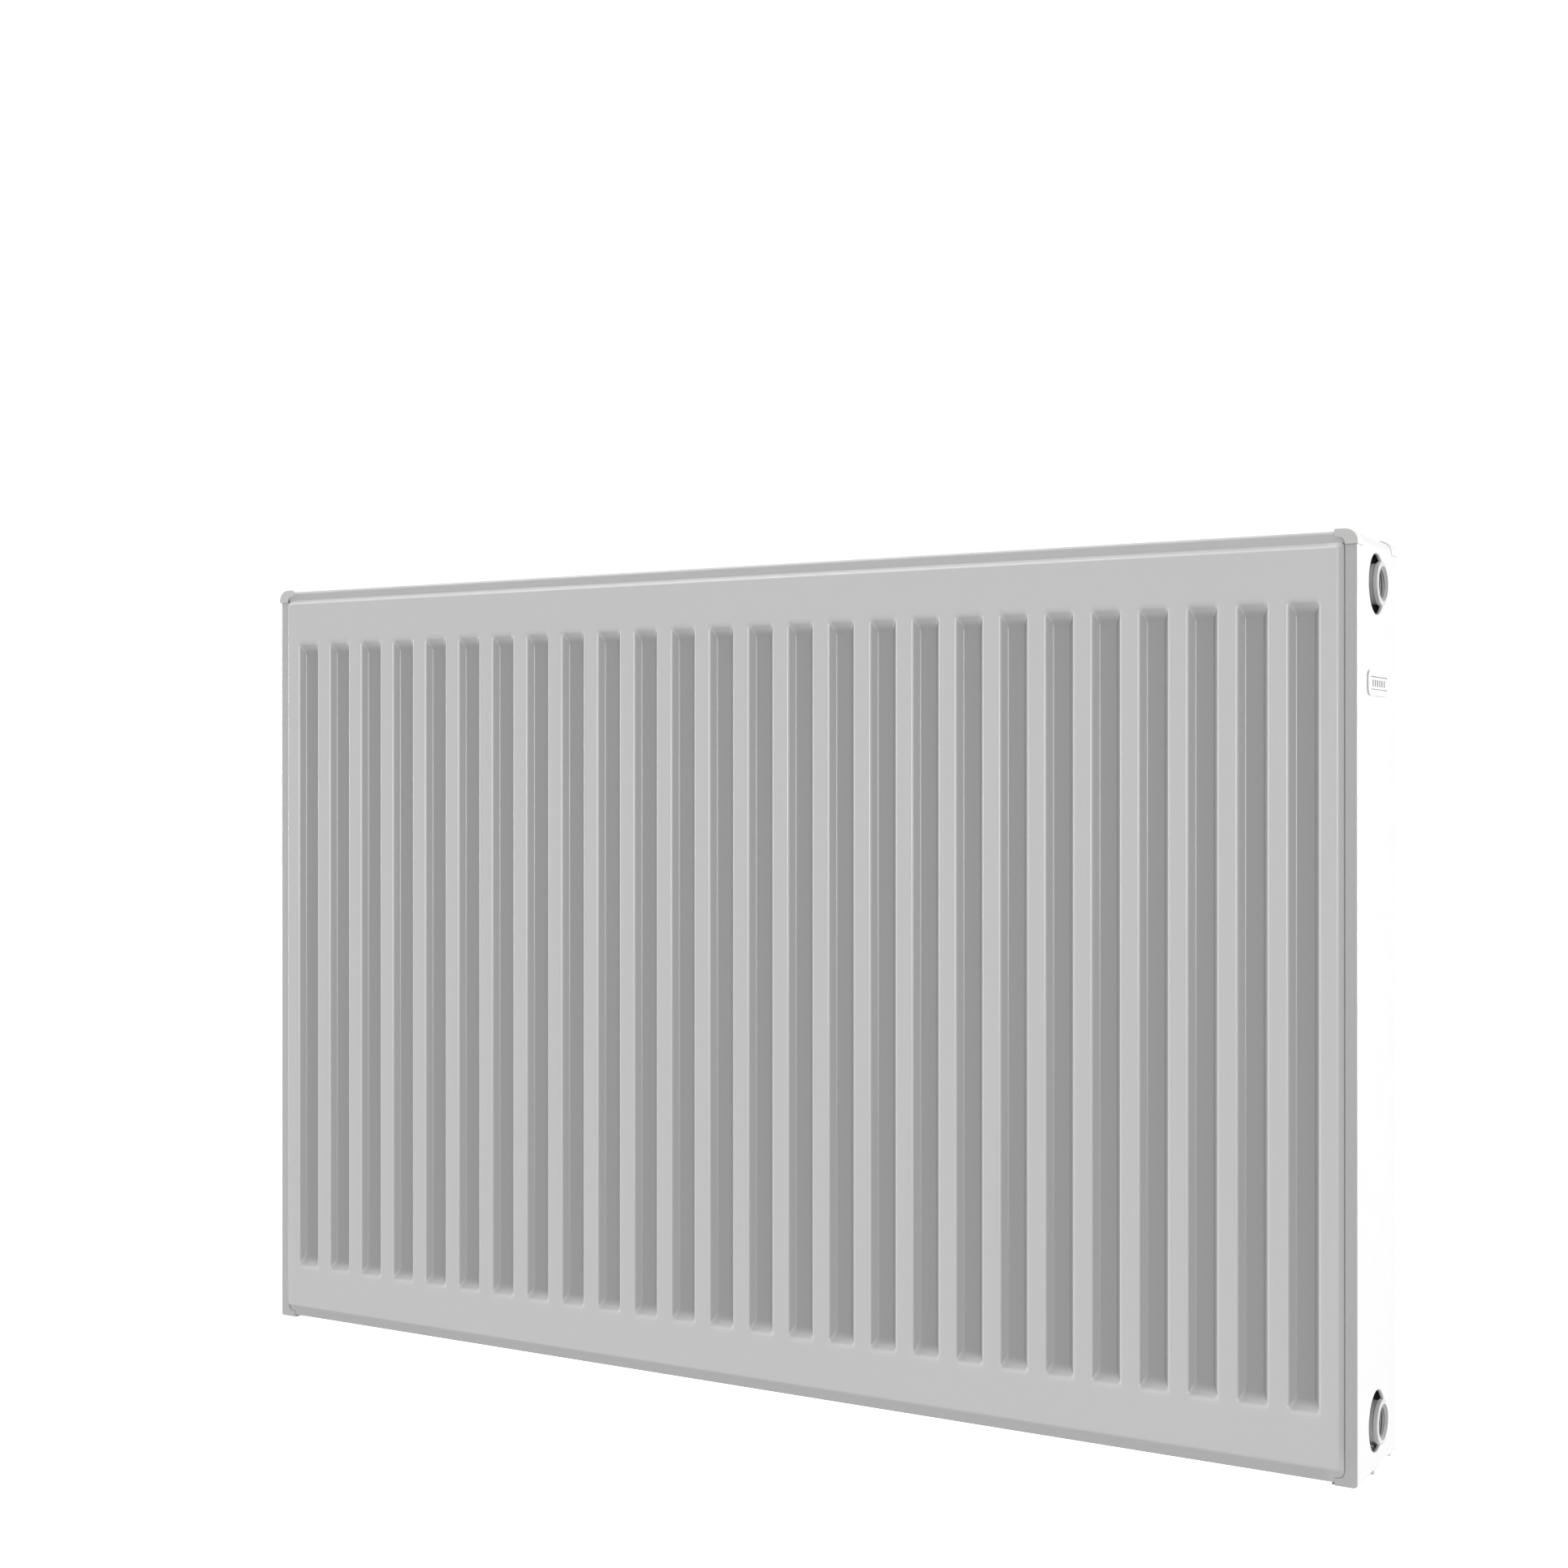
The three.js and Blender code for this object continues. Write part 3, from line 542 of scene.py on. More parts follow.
def thread_cutter():
    """The threaded bore's shape: a helical V groove with flat crests and roots, and a chamfered mouth."""
    bm = bmesh.new()
    start = SOCKET_END - THREAD_LENGTH
    length = THREAD_LENGTH + OVERCUT
    count = round(length / THREAD_PITCH * THREAD_STEPS)
    rows = []
    for k in range(count + 1):
        x = start + length * k / count
        row = []
        for i in range(THREAD_SEGMENTS):
            turn = i / THREAD_SEGMENTS
            phase = (x / THREAD_PITCH + turn) % 1
            groove = min(max(abs(phase - 0.5) * THREAD_STEEPNESS - THREAD_CREST, 0.0), 1.0)
            fade = min(1.0, (x - start) / THREAD_PITCH)
            radius = THREAD_MINOR + (THREAD_MAJOR - THREAD_MINOR) * groove * fade * THREAD_FILL
            radius = max(radius, THREAD_MINOR + MOUTH_CHAMFER - (SOCKET_END - x))
            angle = 2 * math.pi * turn
            row.append((x, radius * math.cos(angle), radius * math.sin(angle)))
        rows.append(loop_of(bm, row))
    bridge_rows(bm, rows)
    bm.faces.new(rows[0])
    bm.faces.new(rows[-1])
    return outward(bm)


def rod(radius, low, high, axis="X", segments=64, chamfer=0.0, at=(0, 0, 0)):
    """A round bar along X or Y, with chamfered ends if a chamfer is given."""
    ends = [(0, low), (radius - chamfer, low), (radius, low + chamfer),
            (radius, high - chamfer), (radius - chamfer, high), (0, high)]
    profile = [p for n, p in enumerate(ends) if p not in ends[:n]]
    bm = turned(profile, segments)
    if axis == "Y":
        bm.transform(Matrix.Rotation(math.pi / 2, 4, "Z"))
    return moved(bm, at)


def weld_bead(radius, y):
    """A ring of weld round a tube along Y, with the ripples that a moving arc leaves."""
    bm = bmesh.new()
    rings = []
    segments = WELD_RIPPLES * 4
    for k in range(segments):
        angle = 2 * math.pi * k / segments
        swell = 1 + WELD_RIPPLE * math.cos(math.pi * k / 2) + WELD_SWELL * math.sin(3 * angle + 1)
        ring = []
        for n in range(WELD_SIDES):
            turn = 2 * math.pi * n / WELD_SIDES
            out = radius + WELD_RADIUS * (WELD_CENTRE + swell * math.cos(turn))
            along = y + WELD_RADIUS * swell * math.sin(turn)
            ring.append((out * math.cos(angle), along, out * math.sin(angle)))
        rings.append(loop_of(bm, ring))
    bridge_rows(bm, rings + rings[:1])
    return outward(bm)


def make_tees(enamel, shaded_bore_enamel, end_enamel):
    """A cross tube between the panels and a threaded socket, with finishes for its bore and its end."""
    reach = MID_DEPTH - tee_low.y
    tee_at = (TEE_X, 0, 0)
    ring_start = SOCKET_END - RING_LENGTH
    socket = turned([(0, TEE_X), (TEE_RADIUS, TEE_X), (TEE_RADIUS, ring_start),
                     (SOCKET_RADIUS - RING_BREAK, ring_start), (SOCKET_RADIUS, ring_start + RING_BREAK),
                     (SOCKET_RADIUS, SOCKET_END - RING_ROUND), (SOCKET_RADIUS - RING_ROUND, SOCKET_END),
                     (0, SOCKET_END)], 72)
    body = cut(fused(rod(TEE_RADIUS - HAIR, -reach, reach, "Y", at=tee_at), socket),
               rod(WATERWAY, -reach - OVERCUT, reach + OVERCUT, "Y", at=tee_at),
               rod(WATERWAY, TEE_X, SOCKET_END - THREAD_LENGTH + OVERCUT), thread_cutter())
    beads = [moved(weld_bead(TEE_RADIUS, side * (reach - WELD_RADIUS)), tee_at) for side in (-1, 1)]
    mesh = mesh_of("tee_connection", join(body, *beads), 30)
    # the tube and the bore take darker copies of the white enamel, as painted shade; the end face keeps the
    # plain white trim enamel
    for finish in (enamel, shaded_bore_enamel, end_enamel):
        mesh.materials.append(finish)
    for face in mesh.polygons:
        out = math.hypot(face.center.y, face.center.z) / MM
        outside = out > THREAD_MINOR + MOUTH_CHAMFER
        behind = SOCKET_END - face.center.x / MM
        if behind < END_DEPTH and face.normal.x > (END_LIP if outside else END_FLAT):
            face.material_index = 2
        elif not outside and behind < THREAD_LENGTH:
            face.material_index = 1
    for level, z in TEE_Z.items():
        piece(f"tee_connection_right_{level}", mesh, enamel, (0, MID_DEPTH, z))
        piece(f"tee_connection_left_{level}", mesh, enamel, (0, MID_DEPTH, z), math.pi)


# ---- Hanger lugs ----
LUG_STEEL = 2
LUG_BEND = 2.5
LUG_FOOT, LUG_RISE_FROM, LUG_RISE_TO = 4, 3, 5  # out and in from the middles of the two ridges it bridges


def make_lugs(enamel):
    centre = (lug_low.x + lug_high.x) / 2
    half = PITCH / 2
    foot = lug_low.y - DEPTH + LUG_STEEL / 2
    crown = lug_high.y - DEPTH - LUG_STEEL / 2
    line = [(-half - LUG_FOOT, foot), (-half + LUG_RISE_FROM, foot), (-half + LUG_RISE_TO, crown),
            (half - LUG_RISE_TO, crown), (half - LUG_RISE_FROM, foot), (half + LUG_FOOT, foot)]
    reach = (lug_high.z - lug_low.z) / 2
    strap = strip(rounded_line(line, LUG_BEND, 5), LUG_STEEL, "Z", -reach, reach)
    mesh = mesh_of("hanger_lug", strap)
    for side, sign in (("left", -1), ("right", 1)):
        for level in ("bottom", "top"):
            node = f"hanger_lug_{side}_{level}"
            low, high = in_drawing(node)
            piece(node, mesh, enamel, (sign * centre, DEPTH, (low.z + high.z) / 2), bevel=0.3)


# ---- Folded trim: side covers and top grille ----
TRIM_FACE = grille_low.y  # outer plane of the cover flanges and grille lips
COVER_BEND = 0.55  # radius of the folded sheet's middle
TOP_BEND = 6.8
BOTTOM_BEND = 2.35
BEND_STEPS = 5


def fold(distance, radius):
    """A point this far past a bend line, as (forward, turned in) from the line."""
    if distance <= 0:
        return distance, 0.0
    angle = min(distance / radius, math.pi / 2)
    rest = max(0.0, distance - radius * math.pi / 2)
    return radius * math.sin(angle), radius * (1 - math.cos(angle)) + rest


def bend_steps(radius):
    """How far past a bend line each step of a quarter bend begins, in the flat."""
    return [radius * math.pi / 2 * k / BEND_STEPS for k in range(BEND_STEPS + 1)]


def unfold(turned_in, radius):
    """How far past the bend line a point lies in the flat, from how far it is turned in."""
    if turned_in >= radius:
        return radius * math.pi / 2 + turned_in - radius
    return radius * math.acos(1 - turned_in / radius)


def flat_blank(outline, lines, holes):
    """A flat blank with its bend lines and holes, as its points, its triangles and each hole's row."""
    points = [Vector(p) for p in outline]
    edges = ring_edges(0, len(outline))
    for a, b in lines:
        edges.append((len(points), len(points) + 1))
        points += [Vector(a), Vector(b)]
    owner = {}
    for k, hole in enumerate(holes):
        start = len(points)
        edges += ring_edges(start, len(hole))
        owner.update({start + i: (k, i) for i in range(len(hole))})
        points += [Vector(p) for p in hole]
    made = delaunay_2d_cdt(points, edges, [], 1, 1e-5)
    rows = [[None] * len(hole) for hole in holes]
    hole_of = {}
    for index, sources in enumerate(made[3]):
        for source in sources:
            if source in owner:
                k, i = owner[source]
                rows[k][i] = index
                hole_of[index] = k
    faces = []
    for corners in made[2]:
        touched = {hole_of.get(c) for c in corners}
        if len(touched) > 1 or None in touched:
            faces.append(corners)
    return made[0], faces, rows


def folded_sheet(blank, place, hole_rows):
    """Builds the blank with each point put where `place` says, and adds each hole's turned edge."""
    points, faces, rows = blank
    bm = bmesh.new()
    verts = [bm.verts.new(place(p.x, p.y)) for p in points]
    for corners in faces:
        bm.faces.new([verts[c] for c in corners])
    for k, row in enumerate(rows):
        ring = [verts[i] for i in row]
        for points_of_ring in hole_rows(k, [v.co.copy() for v in ring]):
            following = loop_of(bm, points_of_ring)
            bridge(bm, ring, following)
            ring = following
    loose = [v for v in bm.verts if not v.link_faces]
    bmesh.ops.delete(bm, geom=loose, context="VERTS")
    return outward(bm)


FLANGE_WIDTH = 7.9
BOTTOM_REACH = 17  # how far the bottom fold runs in, under the panels
FOLD_RELIEF = 0.2  # it stops this far short of the flanges' bends
HOOK_REACH, HOOK_HEIGHT, HOOK_DROP = 14.8, 4.8, 1.5
HOOK_CORNER, HOOK_HOLLOW = 2.75, 4.75
TONGUE_DROP = 10  # from a corner clip's seam down to its tongue's end
CLIP_SEAM = clip_low.z + TONGUE_DROP
COVER_TOP = CLIP_SEAM - 0.12  # a line of shadow under the clip
NOTCH_Y = 17.12  # the top fold stops this far from the front and the back
COLLAR_RADIUS, COLLAR_BEND, COLLAR_REACH = 19.9, 0.95, 1.5
COLLAR_SEGMENTS = 72
FOOT_TAB = (445.6, 449.1, 46, 56, -4.2, -0.8)  # low and high x, y and z of the two tabs under a cover
REAR_TAB = (446.4, 449.1, 86, 92, -2.85, -0.8)


def cover_blank():
    """The flat blank of a side cover in (distance from mid depth, height), and its bend lines."""
    web = HALF - TRIM / 2
    half_web = MID_DEPTH - TRIM_FACE - TRIM / 2 - COVER_BEND
    bottom_line = HOOK_CORNER - HOOK_DROP
    top_line = grille_high.z - TRIM / 2 - TOP_BEND
    flange_edge = HALF - FLANGE_WIDTH

    def out(x):
        return half_web + unfold(web - x, COVER_BEND)

    hook_top = HOOK_HEIGHT - HOOK_DROP
    corner = [(x, z) for x, z in arc(HALF - HOOK_CORNER, bottom_line, HOOK_CORNER, 0, -90, 8) if x < web]
    hollow = arc(flange_edge - HOOK_HOLLOW, hook_top + HOOK_HOLLOW, HOOK_HOLLOW, -90, 0, 8)
    flap = [(half_web, bottom_line)] + [(out(x), z) for x, z in corner]
    flap += [(out(HALF - HOOK_REACH), -HOOK_DROP), (out(HALF - HOOK_REACH), hook_top)]
    flap += [(out(x), z) for x, z in hollow]
    flap += [(out(flange_edge), COVER_TOP), (half_web, COVER_TOP)]
    top_end = top_line + unfold(web - flange_edge, TOP_BEND)
    notch = [(MID_DEPTH - NOTCH_Y, COVER_TOP), (MID_DEPTH - NOTCH_Y, top_end)]
    bottom_end = bottom_line - unfold(web - (HALF - BOTTOM_REACH), BOTTOM_BEND)
    bottom = [(half_web - FOLD_RELIEF, bottom_end), (half_web - FOLD_RELIEF, bottom_line)]
    right = bottom + flap + notch
    outline = right + [(-u, v) for u, v in reversed(right)]

    lines = []
    half_top = MID_DEPTH - NOTCH_Y + OVERCUT
    for side, up, down in zip(bend_steps(COVER_BEND), bend_steps(TOP_BEND), bend_steps(BOTTOM_BEND)):
        for u in (-half_web - side, half_web + side):
            lines.append(((u, bottom_line - 2 * OVERCUT), (u, COVER_TOP + OVERCUT)))
        lines.append(((-half_top, top_line + up), (half_top, top_line + up)))
        lines.append(((-half_web, bottom_line - down), (half_web, bottom_line - down)))
    return outline, lines, half_web, bottom_line, top_line


def cover_mesh():
    web = HALF - TRIM / 2
    outline, lines, half_web, bottom_line, top_line = cover_blank()
    circle = [arc(0, z, COLLAR_RADIUS + COLLAR_BEND, 0, 360, COLLAR_SEGMENTS)[:-1] for z in TEE_Z.values()]

    def place(u, v):
        forward, turned_in = fold(abs(u) - half_web, COVER_BEND)
        y = MID_DEPTH + math.copysign(half_web + forward, u)
        if abs(u) > half_web:
            return web - turned_in, y, v
        if v > top_line:
            forward, turned_in = fold(v - top_line, TOP_BEND)
            return web - turned_in, y, top_line + forward
        forward, turned_in = fold(bottom_line - v, BOTTOM_BEND)
        return web - turned_in, y, bottom_line - forward

    def collar(k, ring):
        centre_z = list(TEE_Z.values())[k]
        steps = [(COLLAR_RADIUS + COLLAR_BEND * (1 - math.sin(a)), web - COLLAR_BEND * (1 - math.cos(a)))
                 for a in (math.radians(90 * n / BEND_STEPS) for n in range(1, BEND_STEPS + 1))]
        steps.append((COLLAR_RADIUS, HALF - TRIM - COLLAR_REACH))
        for radius, x in steps:
            arms = [Vector((0, p.y - MID_DEPTH, p.z - centre_z)).normalized() * radius for p in ring]
            yield [(x, MID_DEPTH + arm.y, centre_z + arm.z) for arm in arms]

    return folded_sheet(flat_blank(outline, lines, circle), place, collar)


def block(x0, x1, y0, y1, z0, z1):
    return prism([(x0, z0), (x1, z0), (x1, z1), (x0, z1)], "Y", y0, y1)


def make_covers(trim_enamel):
    right = join(walled(cover_mesh(), TRIM), block(*FOOT_TAB), block(*REAR_TAB))
    left = mirrored(right.copy())
    for node, shell in (("side_cover_right", right), ("side_cover_left", left)):
        piece(node, mesh_of(node, shell), trim_enamel, bevel=0.14)


# ---- Top grille ----
GRILLE_BEND = 2.1
GRILLE_LIP_DROP = 1.4  # the lip comes down onto the panel's flank
SLOT_PITCH = 0.4 * PITCH
SLOT_HALF = 4.5
SLOT_COUNT = 63
SLOT_FROM, SLOT_TO = 12, 46
SLOT_EDGE = 0.7  # radius of each slot's turned edge
SLOT_ROUND = ((0.3, 0.05), (0.55, 0.2), (SLOT_EDGE, 0.7), (SLOT_EDGE, 1.2))  # its turn, as (inset, down)


def make_grille(trim_enamel):
    top = grille_high.z - TRIM / 2
    half_top = MID_DEPTH - TRIM_FACE - TRIM / 2 - GRILLE_BEND
    half_length = grille_high.x
    lip_end = half_top + unfold(top - grille_low.z + GRILLE_LIP_DROP, GRILLE_BEND)
    outline = [(u * half_length, v * lip_end) for u, v in ((-1, -1), (1, -1), (1, 1), (-1, 1))]
    lines = []
    for past in bend_steps(GRILLE_BEND):
        for v in (-half_top - past, half_top + past):
            lines.append(((-half_length - OVERCUT, v), (half_length + OVERCUT, v)))
    middle = (SLOT_FROM + SLOT_TO) / 2 - MID_DEPTH
    slot_places = [(x, v) for v in (middle, -middle) for x in spread(SLOT_COUNT, SLOT_PITCH)]
    reach = (SLOT_TO - SLOT_FROM) / 2
    slots = [stadium(x, v, reach + SLOT_EDGE, SLOT_HALF + SLOT_EDGE, 10) for x, v in slot_places]

    def place(u, v):
        forward, turned_in = fold(abs(v) - half_top, GRILLE_BEND)
        return u, MID_DEPTH + math.copysign(half_top + forward, v), top - turned_in

    def turned_edge(k, ring):
        x, y = slot_places[k][0], MID_DEPTH + slot_places[k][1]
        straight = reach - SLOT_HALF
        hearts = [Vector((x, y + max(-straight, min(straight, p.y - y)), top)) for p in ring]
        arms = [Vector((p.x - heart.x, p.y - heart.y, 0)).normalized() for p, heart in zip(ring, hearts)]
        for inset, down in SLOT_ROUND:
            radius = SLOT_HALF + SLOT_EDGE - inset
            yield [heart + arm * radius - Vector((0, 0, down)) for heart, arm in zip(hearts, arms)]

    sheet = walled(folded_sheet(flat_blank(outline, lines, slots), place, turned_edge), TRIM)
    piece("top_grille", mesh_of("top_grille", sheet), trim_enamel)


STRAP_BEND = 1.6
STRAP_SHOULDER = 3  # how far each leg leans in, over the last stretch below the top


def make_grille_clips(spring):
    for place_name in ("left", "middle", "right"):
        node = f"grille_clip_{place_name}"
        low, high = in_drawing(node)
        edge, top = low.y + TRIM / 2, high.z - TRIM / 2
        corner = [(edge, low.z), (edge, top - STRAP_SHOULDER), (edge + STRAP_SHOULDER, top)]
        line = corner + [(DEPTH - y, z) for y, z in reversed(corner)]
        strap = strip(rounded_line(line, STRAP_BEND), TRIM, "X", low.x, high.x)
        piece(node, mesh_of(node, strap), spring, bevel=0.15)


# ---- Corner clips ----
CLIP_WALL = 1
CLIP_RADIUS, CLIP_HOLLOW, CLIP_ARM = 8.5, 5, 5.1
TONGUE_FROM, TONGUE_TO, TONGUE_THICK = 6, 11, 1.6  # behind the cover's front flange
TONGUE_ROOT = 2  # it rises this far past the start of the hoop's bend


def clip_mesh():
    """A right front clip: an arm on the flange, a hoop over the cover's top corner and a tongue inside."""
    side, top, reach = clip_high.x, clip_high.z, clip_low.x
    arc_x, arc_z = side - CLIP_RADIUS, top - CLIP_RADIUS
    leg_edge = HALF - FLANGE_WIDTH
    outer = [(side, CLIP_SEAM)] + arc(arc_x, arc_z, CLIP_RADIUS, 0, 90, 12) + [(reach, top)]
    sweep = []
    for k in range(9):
        t = k / 8
        u = (1 - t) ** 2 * (leg_edge - CLIP_HOLLOW) + 2 * t * (1 - t) * leg_edge + t * t * leg_edge
        v = (1 - t) ** 2 * (top - CLIP_ARM) + 2 * t * (1 - t) * (top - CLIP_ARM) + t * t * CLIP_SEAM
        sweep.append((u, v))
    plate = prism(outer + [(reach, top - CLIP_ARM)] + sweep, "Y", clip_low.y, clip_low.y + CLIP_WALL)
    inner = arc(arc_x, arc_z, CLIP_RADIUS - CLIP_WALL, 90, 0, 12)
    hoop = prism(outer[:-1] + inner + [(side - CLIP_WALL, CLIP_SEAM)], "Y", clip_low.y, clip_high.y)
    face = HALF - TRIM - GAP
    front, back, up = TRIM_FACE + TONGUE_FROM, TRIM_FACE + TONGUE_TO, arc_z + TONGUE_ROOT
    tongue = block(face - TONGUE_THICK, face, front, back, clip_low.z, up)
    link = block(face - TONGUE_THICK, side - CLIP_WALL / 2, front, back, CLIP_SEAM, up)
    return fused(plate, hoop, fused(tongue, link))


def make_corner_clips(plastic):
    right = clip_mesh()
    left = mirrored(right.copy())
    right, left = mesh_of("corner_clip_a", right), mesh_of("corner_clip_b", left)
    piece("corner_clip_right_front", right, plastic, bevel=0.3)
    piece("corner_clip_left_front", left, plastic, bevel=0.3)
    piece("corner_clip_right_rear", left, plastic, (0, DEPTH, 0), math.pi, bevel=0.3)
    piece("corner_clip_left_rear", right, plastic, (0, DEPTH, 0), math.pi, bevel=0.3)


# ---- Badge ----
BADGE_CORNER, BADGE_SHARPEST = 5.0, 0.6  # corner radii: at the edge, and the least further in
BADGE_ROWS = ((0.0, 0.0), (0.0, 0.55), (0.12, 0.8), (0.35, 0.92), (1.2, 0.92), (1.5, 0.72), (2.0, 0.5),
              (2.5, 0.5), (2.8, 0.62), (3.1, 0.86), (3.9, 0.86), (4.2, 0.62), (4.5, 0.5))
BADGE_BARS, BAR_PITCH = 6, 5.4
BAR_HALF_WIDTH, BAR_HALF_HEIGHT = 0.8, 2.2
BAR_FOOT, BAR_TOP, BAR_CORNER = 0.4, 0.75, 0.4


def make_badge(plastic, print_and_shade_grey):
    """A rounded plate with a raised border and a second raised frame inside it, as (inset, height) rows.

    The frame's inner wall is painted grey, as painted shade on its curved walls, and the plain bars that
    stand in the field are grey print.
    """
    low, high = in_drawing("badge")
    bm = bmesh.new()
    rows = []
    for inset, height in BADGE_ROWS:
        radius = max(BADGE_CORNER - inset, BADGE_SHARPEST)
        box = rounded_box(low.y + inset, high.y - inset, low.z + inset, high.z - inset, (radius, radius), 8)
        rows.append(loop_of(bm, [(low.x + height, y, z) for y, z in box]))
    bridge_rows(bm, rows)
    # the inner frame's wall: painted shade in the grey of the print
    shaded_wall_faces = list(bm.faces)[-2 * len(rows[0]):]
    bm.faces.new(rows[0])
    bm.faces.new(rows[-1])
    for face in shaded_wall_faces:
        face.material_index = 1
    bars = []
    z = (low.z + high.z) / 2
    for aside in spread(BADGE_BARS, BAR_PITCH):
        y = (low.y + high.y) / 2 + aside
        outline = centred_box(y, z, BAR_HALF_WIDTH, BAR_HALF_HEIGHT, BAR_CORNER, 3)
        bars.append(prism(outline, "X", low.x + BAR_FOOT, low.x + BAR_TOP))
        for face in bars[-1].faces:
            face.material_index = 1
    mesh = mesh_of("badge", join(outward(bm), *bars))
    for finish in (plastic, print_and_shade_grey):
        mesh.materials.append(finish)
    piece("badge", mesh, plastic)


# ---- Plugs, drawn pointing along +X from the socket's end face ----
SEAL_THICK, SEAL_WALL, SEAL_ROUND = 1.3, 3.6, 0.25
HEX_FLATS, HEX_THICK = 22, 5
HEX_CROWN = 0.3  # the head's flat top ends this far inside its flats
SHANK_RADIUS, SHANK_REACH = 9, 10
STUB_RADIUS, STUB_REACH = 6, 6.2
SCREW_HOLE, SCREW_RADIUS, SCREW_SQUARE = 3.2, 2.9, 5
SCREW_SHORT, SQUARE_LENGTH = 2, 4.5  # the screw stops short of the shank's end
OUTLET_RADIUS, OUTLET_SETBACK = 9, 0.5
SPOUT_RADIUS, SPOUT_WIDENS = 2, 1.35  # the root's cone is this many times wider
SPOUT_LENGTH, SPOUT_TAPER, SPOUT_ROUND = 8, 4, 0.4  # the cone takes up the taper
JET_RADIUS, JET_LENGTH = 1, 12
SPOUT_ROOT, JET_ROOT = 1.5, 0.5  # how deep under the outlet's skin each begins
KEY_RECESS, KEY_DEPTH = 8, 3
HEX_FACE = GAP + SEAL_THICK + GAP
HEX_END = HEX_FACE + HEX_THICK
STUB_END = HEX_END + STUB_REACH


def hexagon():
    """A hexagonal head with its corners turned off at 30 degrees on the outer side."""
    corner = HEX_FLATS / math.sqrt(3)
    crown, wide = HEX_FLATS / 2 - HEX_CROWN, corner + OVERCUT
    head = prism(arc(0, 0, corner, 90, 450, 6)[:-1], "X", HEX_FACE, HEX_END)
    fall = (wide - crown) * math.tan(math.radians(30))
    dome = turned([(0, HEX_FACE - OVERCUT), (wide, HEX_FACE - OVERCUT), (wide, HEX_END - fall),
                   (crown, HEX_END), (0, HEX_END)], 96)
    return combine(head, dome, "INTERSECT")


def square_prism(width, low, high):
    half = width / 2
    return prism([(-half, -half), (half, -half), (half, half), (-half, half)], "X", low, high)


def plug_body():
    return fused(hexagon(), rod(SHANK_RADIUS, -SHANK_REACH, HEX_FACE + OVERCUT, chamfer=0.8))


def make_plugs(nickel, rubber, brass, plastic):
    sites = {level: (-SOCKET_END, MID_DEPTH, z) for level, z in TEE_Z.items()}
    seal_in, seal_out, seal_end = SHANK_RADIUS + GAP, SHANK_RADIUS + SEAL_WALL, GAP + SEAL_THICK
    ring = [(seal_in, GAP), (seal_out - SEAL_ROUND, GAP), (seal_out, GAP + SEAL_ROUND),
            (seal_out, seal_end - SEAL_ROUND), (seal_out - SEAL_ROUND, seal_end), (seal_in, seal_end)]
    seal = mesh_of("plug_seal", turned(ring))
    stub = rod(STUB_RADIUS, HEX_END - OVERCUT, STUB_END, chamfer=0.4)
    vent = cut(fused(plug_body(), stub), rod(SCREW_HOLE, -SHANK_REACH - OVERCUT, STUB_END + OVERCUT))
    blank = cut(plug_body(), square_prism(KEY_RECESS, HEX_END - KEY_DEPTH, HEX_END + OVERCUT))

    outlet_from, outlet_to = HEX_END + GAP, STUB_END - OUTLET_SETBACK
    outlet = rod(OUTLET_RADIUS, outlet_from, outlet_to, chamfer=0.6)

    def pointed_down(bm, root):
        place = Matrix.Translation(((outlet_from + outlet_to) / 2, 0, root - OUTLET_RADIUS))
        bm.transform(place @ Matrix.Rotation(math.pi / 2, 4, "Y"))
        return bm

    spout = turned([(0, 0), (SPOUT_RADIUS * SPOUT_WIDENS, 0), (SPOUT_RADIUS, SPOUT_TAPER),
                    (SPOUT_RADIUS, SPOUT_LENGTH - SPOUT_ROUND), (SPOUT_RADIUS - SPOUT_ROUND, SPOUT_LENGTH),
                    (0, SPOUT_LENGTH)], 40)
    jet = rod(JET_RADIUS, 0, JET_LENGTH, segments=24)
    outlet = cut(fused(outlet, pointed_down(spout, SPOUT_ROOT)), pointed_down(jet, JET_ROOT),
                 rod(STUB_RADIUS + GAP, HEX_END, STUB_END))

    screw = fused(rod(SCREW_RADIUS, SCREW_SHORT - SHANK_REACH, STUB_END + OVERCUT, segments=40),
                  square_prism(SCREW_SQUARE, STUB_END, STUB_END + SQUARE_LENGTH))
    at_top = {"at": sites["top"], "turn": math.pi}
    at_bottom = {"at": sites["bottom"], "turn": math.pi}
    piece("bleed_plug", mesh_of("bleed_plug", vent), nickel, bevel=0.2, **at_top)
    piece("bleed_plug_seal", seal, rubber, **at_top)
    piece("bleed_outlet", mesh_of("bleed_outlet", outlet), plastic, bevel=0.2, **at_top)
    piece("bleed_screw", mesh_of("bleed_screw", screw), brass, bevel=0.25, **at_top)
    piece("blanking_plug", mesh_of("blanking_plug", blank), nickel, bevel=0.25, **at_bottom)
    piece("blanking_plug_seal", seal, rubber, **at_bottom)


# ---- Finishes ----
class Nodes:
    """Short ways to add nodes to a tree."""

    def __init__(self, tree):
        self.tree = tree

    def node(self, kind, **settings):
        made = self.tree.nodes.new(kind)
        for key, value in settings.items():
            setattr(made, key, value)
        return made

    def link(self, source, target):
        self.tree.links.new(source, target)

    def parts(self, vector):
        """A vector's X, Y and Z."""
        split = self.node("ShaderNodeSeparateXYZ")
        self.link(vector, split.inputs[0])
        return split.outputs

    def math(self, operation, *values):
        step = self.node("ShaderNodeMath", operation=operation)
        for socket, value in zip(step.inputs, values):
            self.link(value, socket)
        return step.outputs["Value"]

    def ramp(self, value, low, high, start=0.35, end=0.65, kind="LINEAR"):
        """The value remapped, from start..end to low..high."""
        remap = self.node("ShaderNodeMapRange", interpolation_type=kind)
        for socket, number in (("From Min", start), ("From Max", end), ("To Min", low), ("To Max", high)):
            remap.inputs[socket].default_value = number
        self.link(value, remap.inputs["Value"])
        return remap.outputs["Result"]


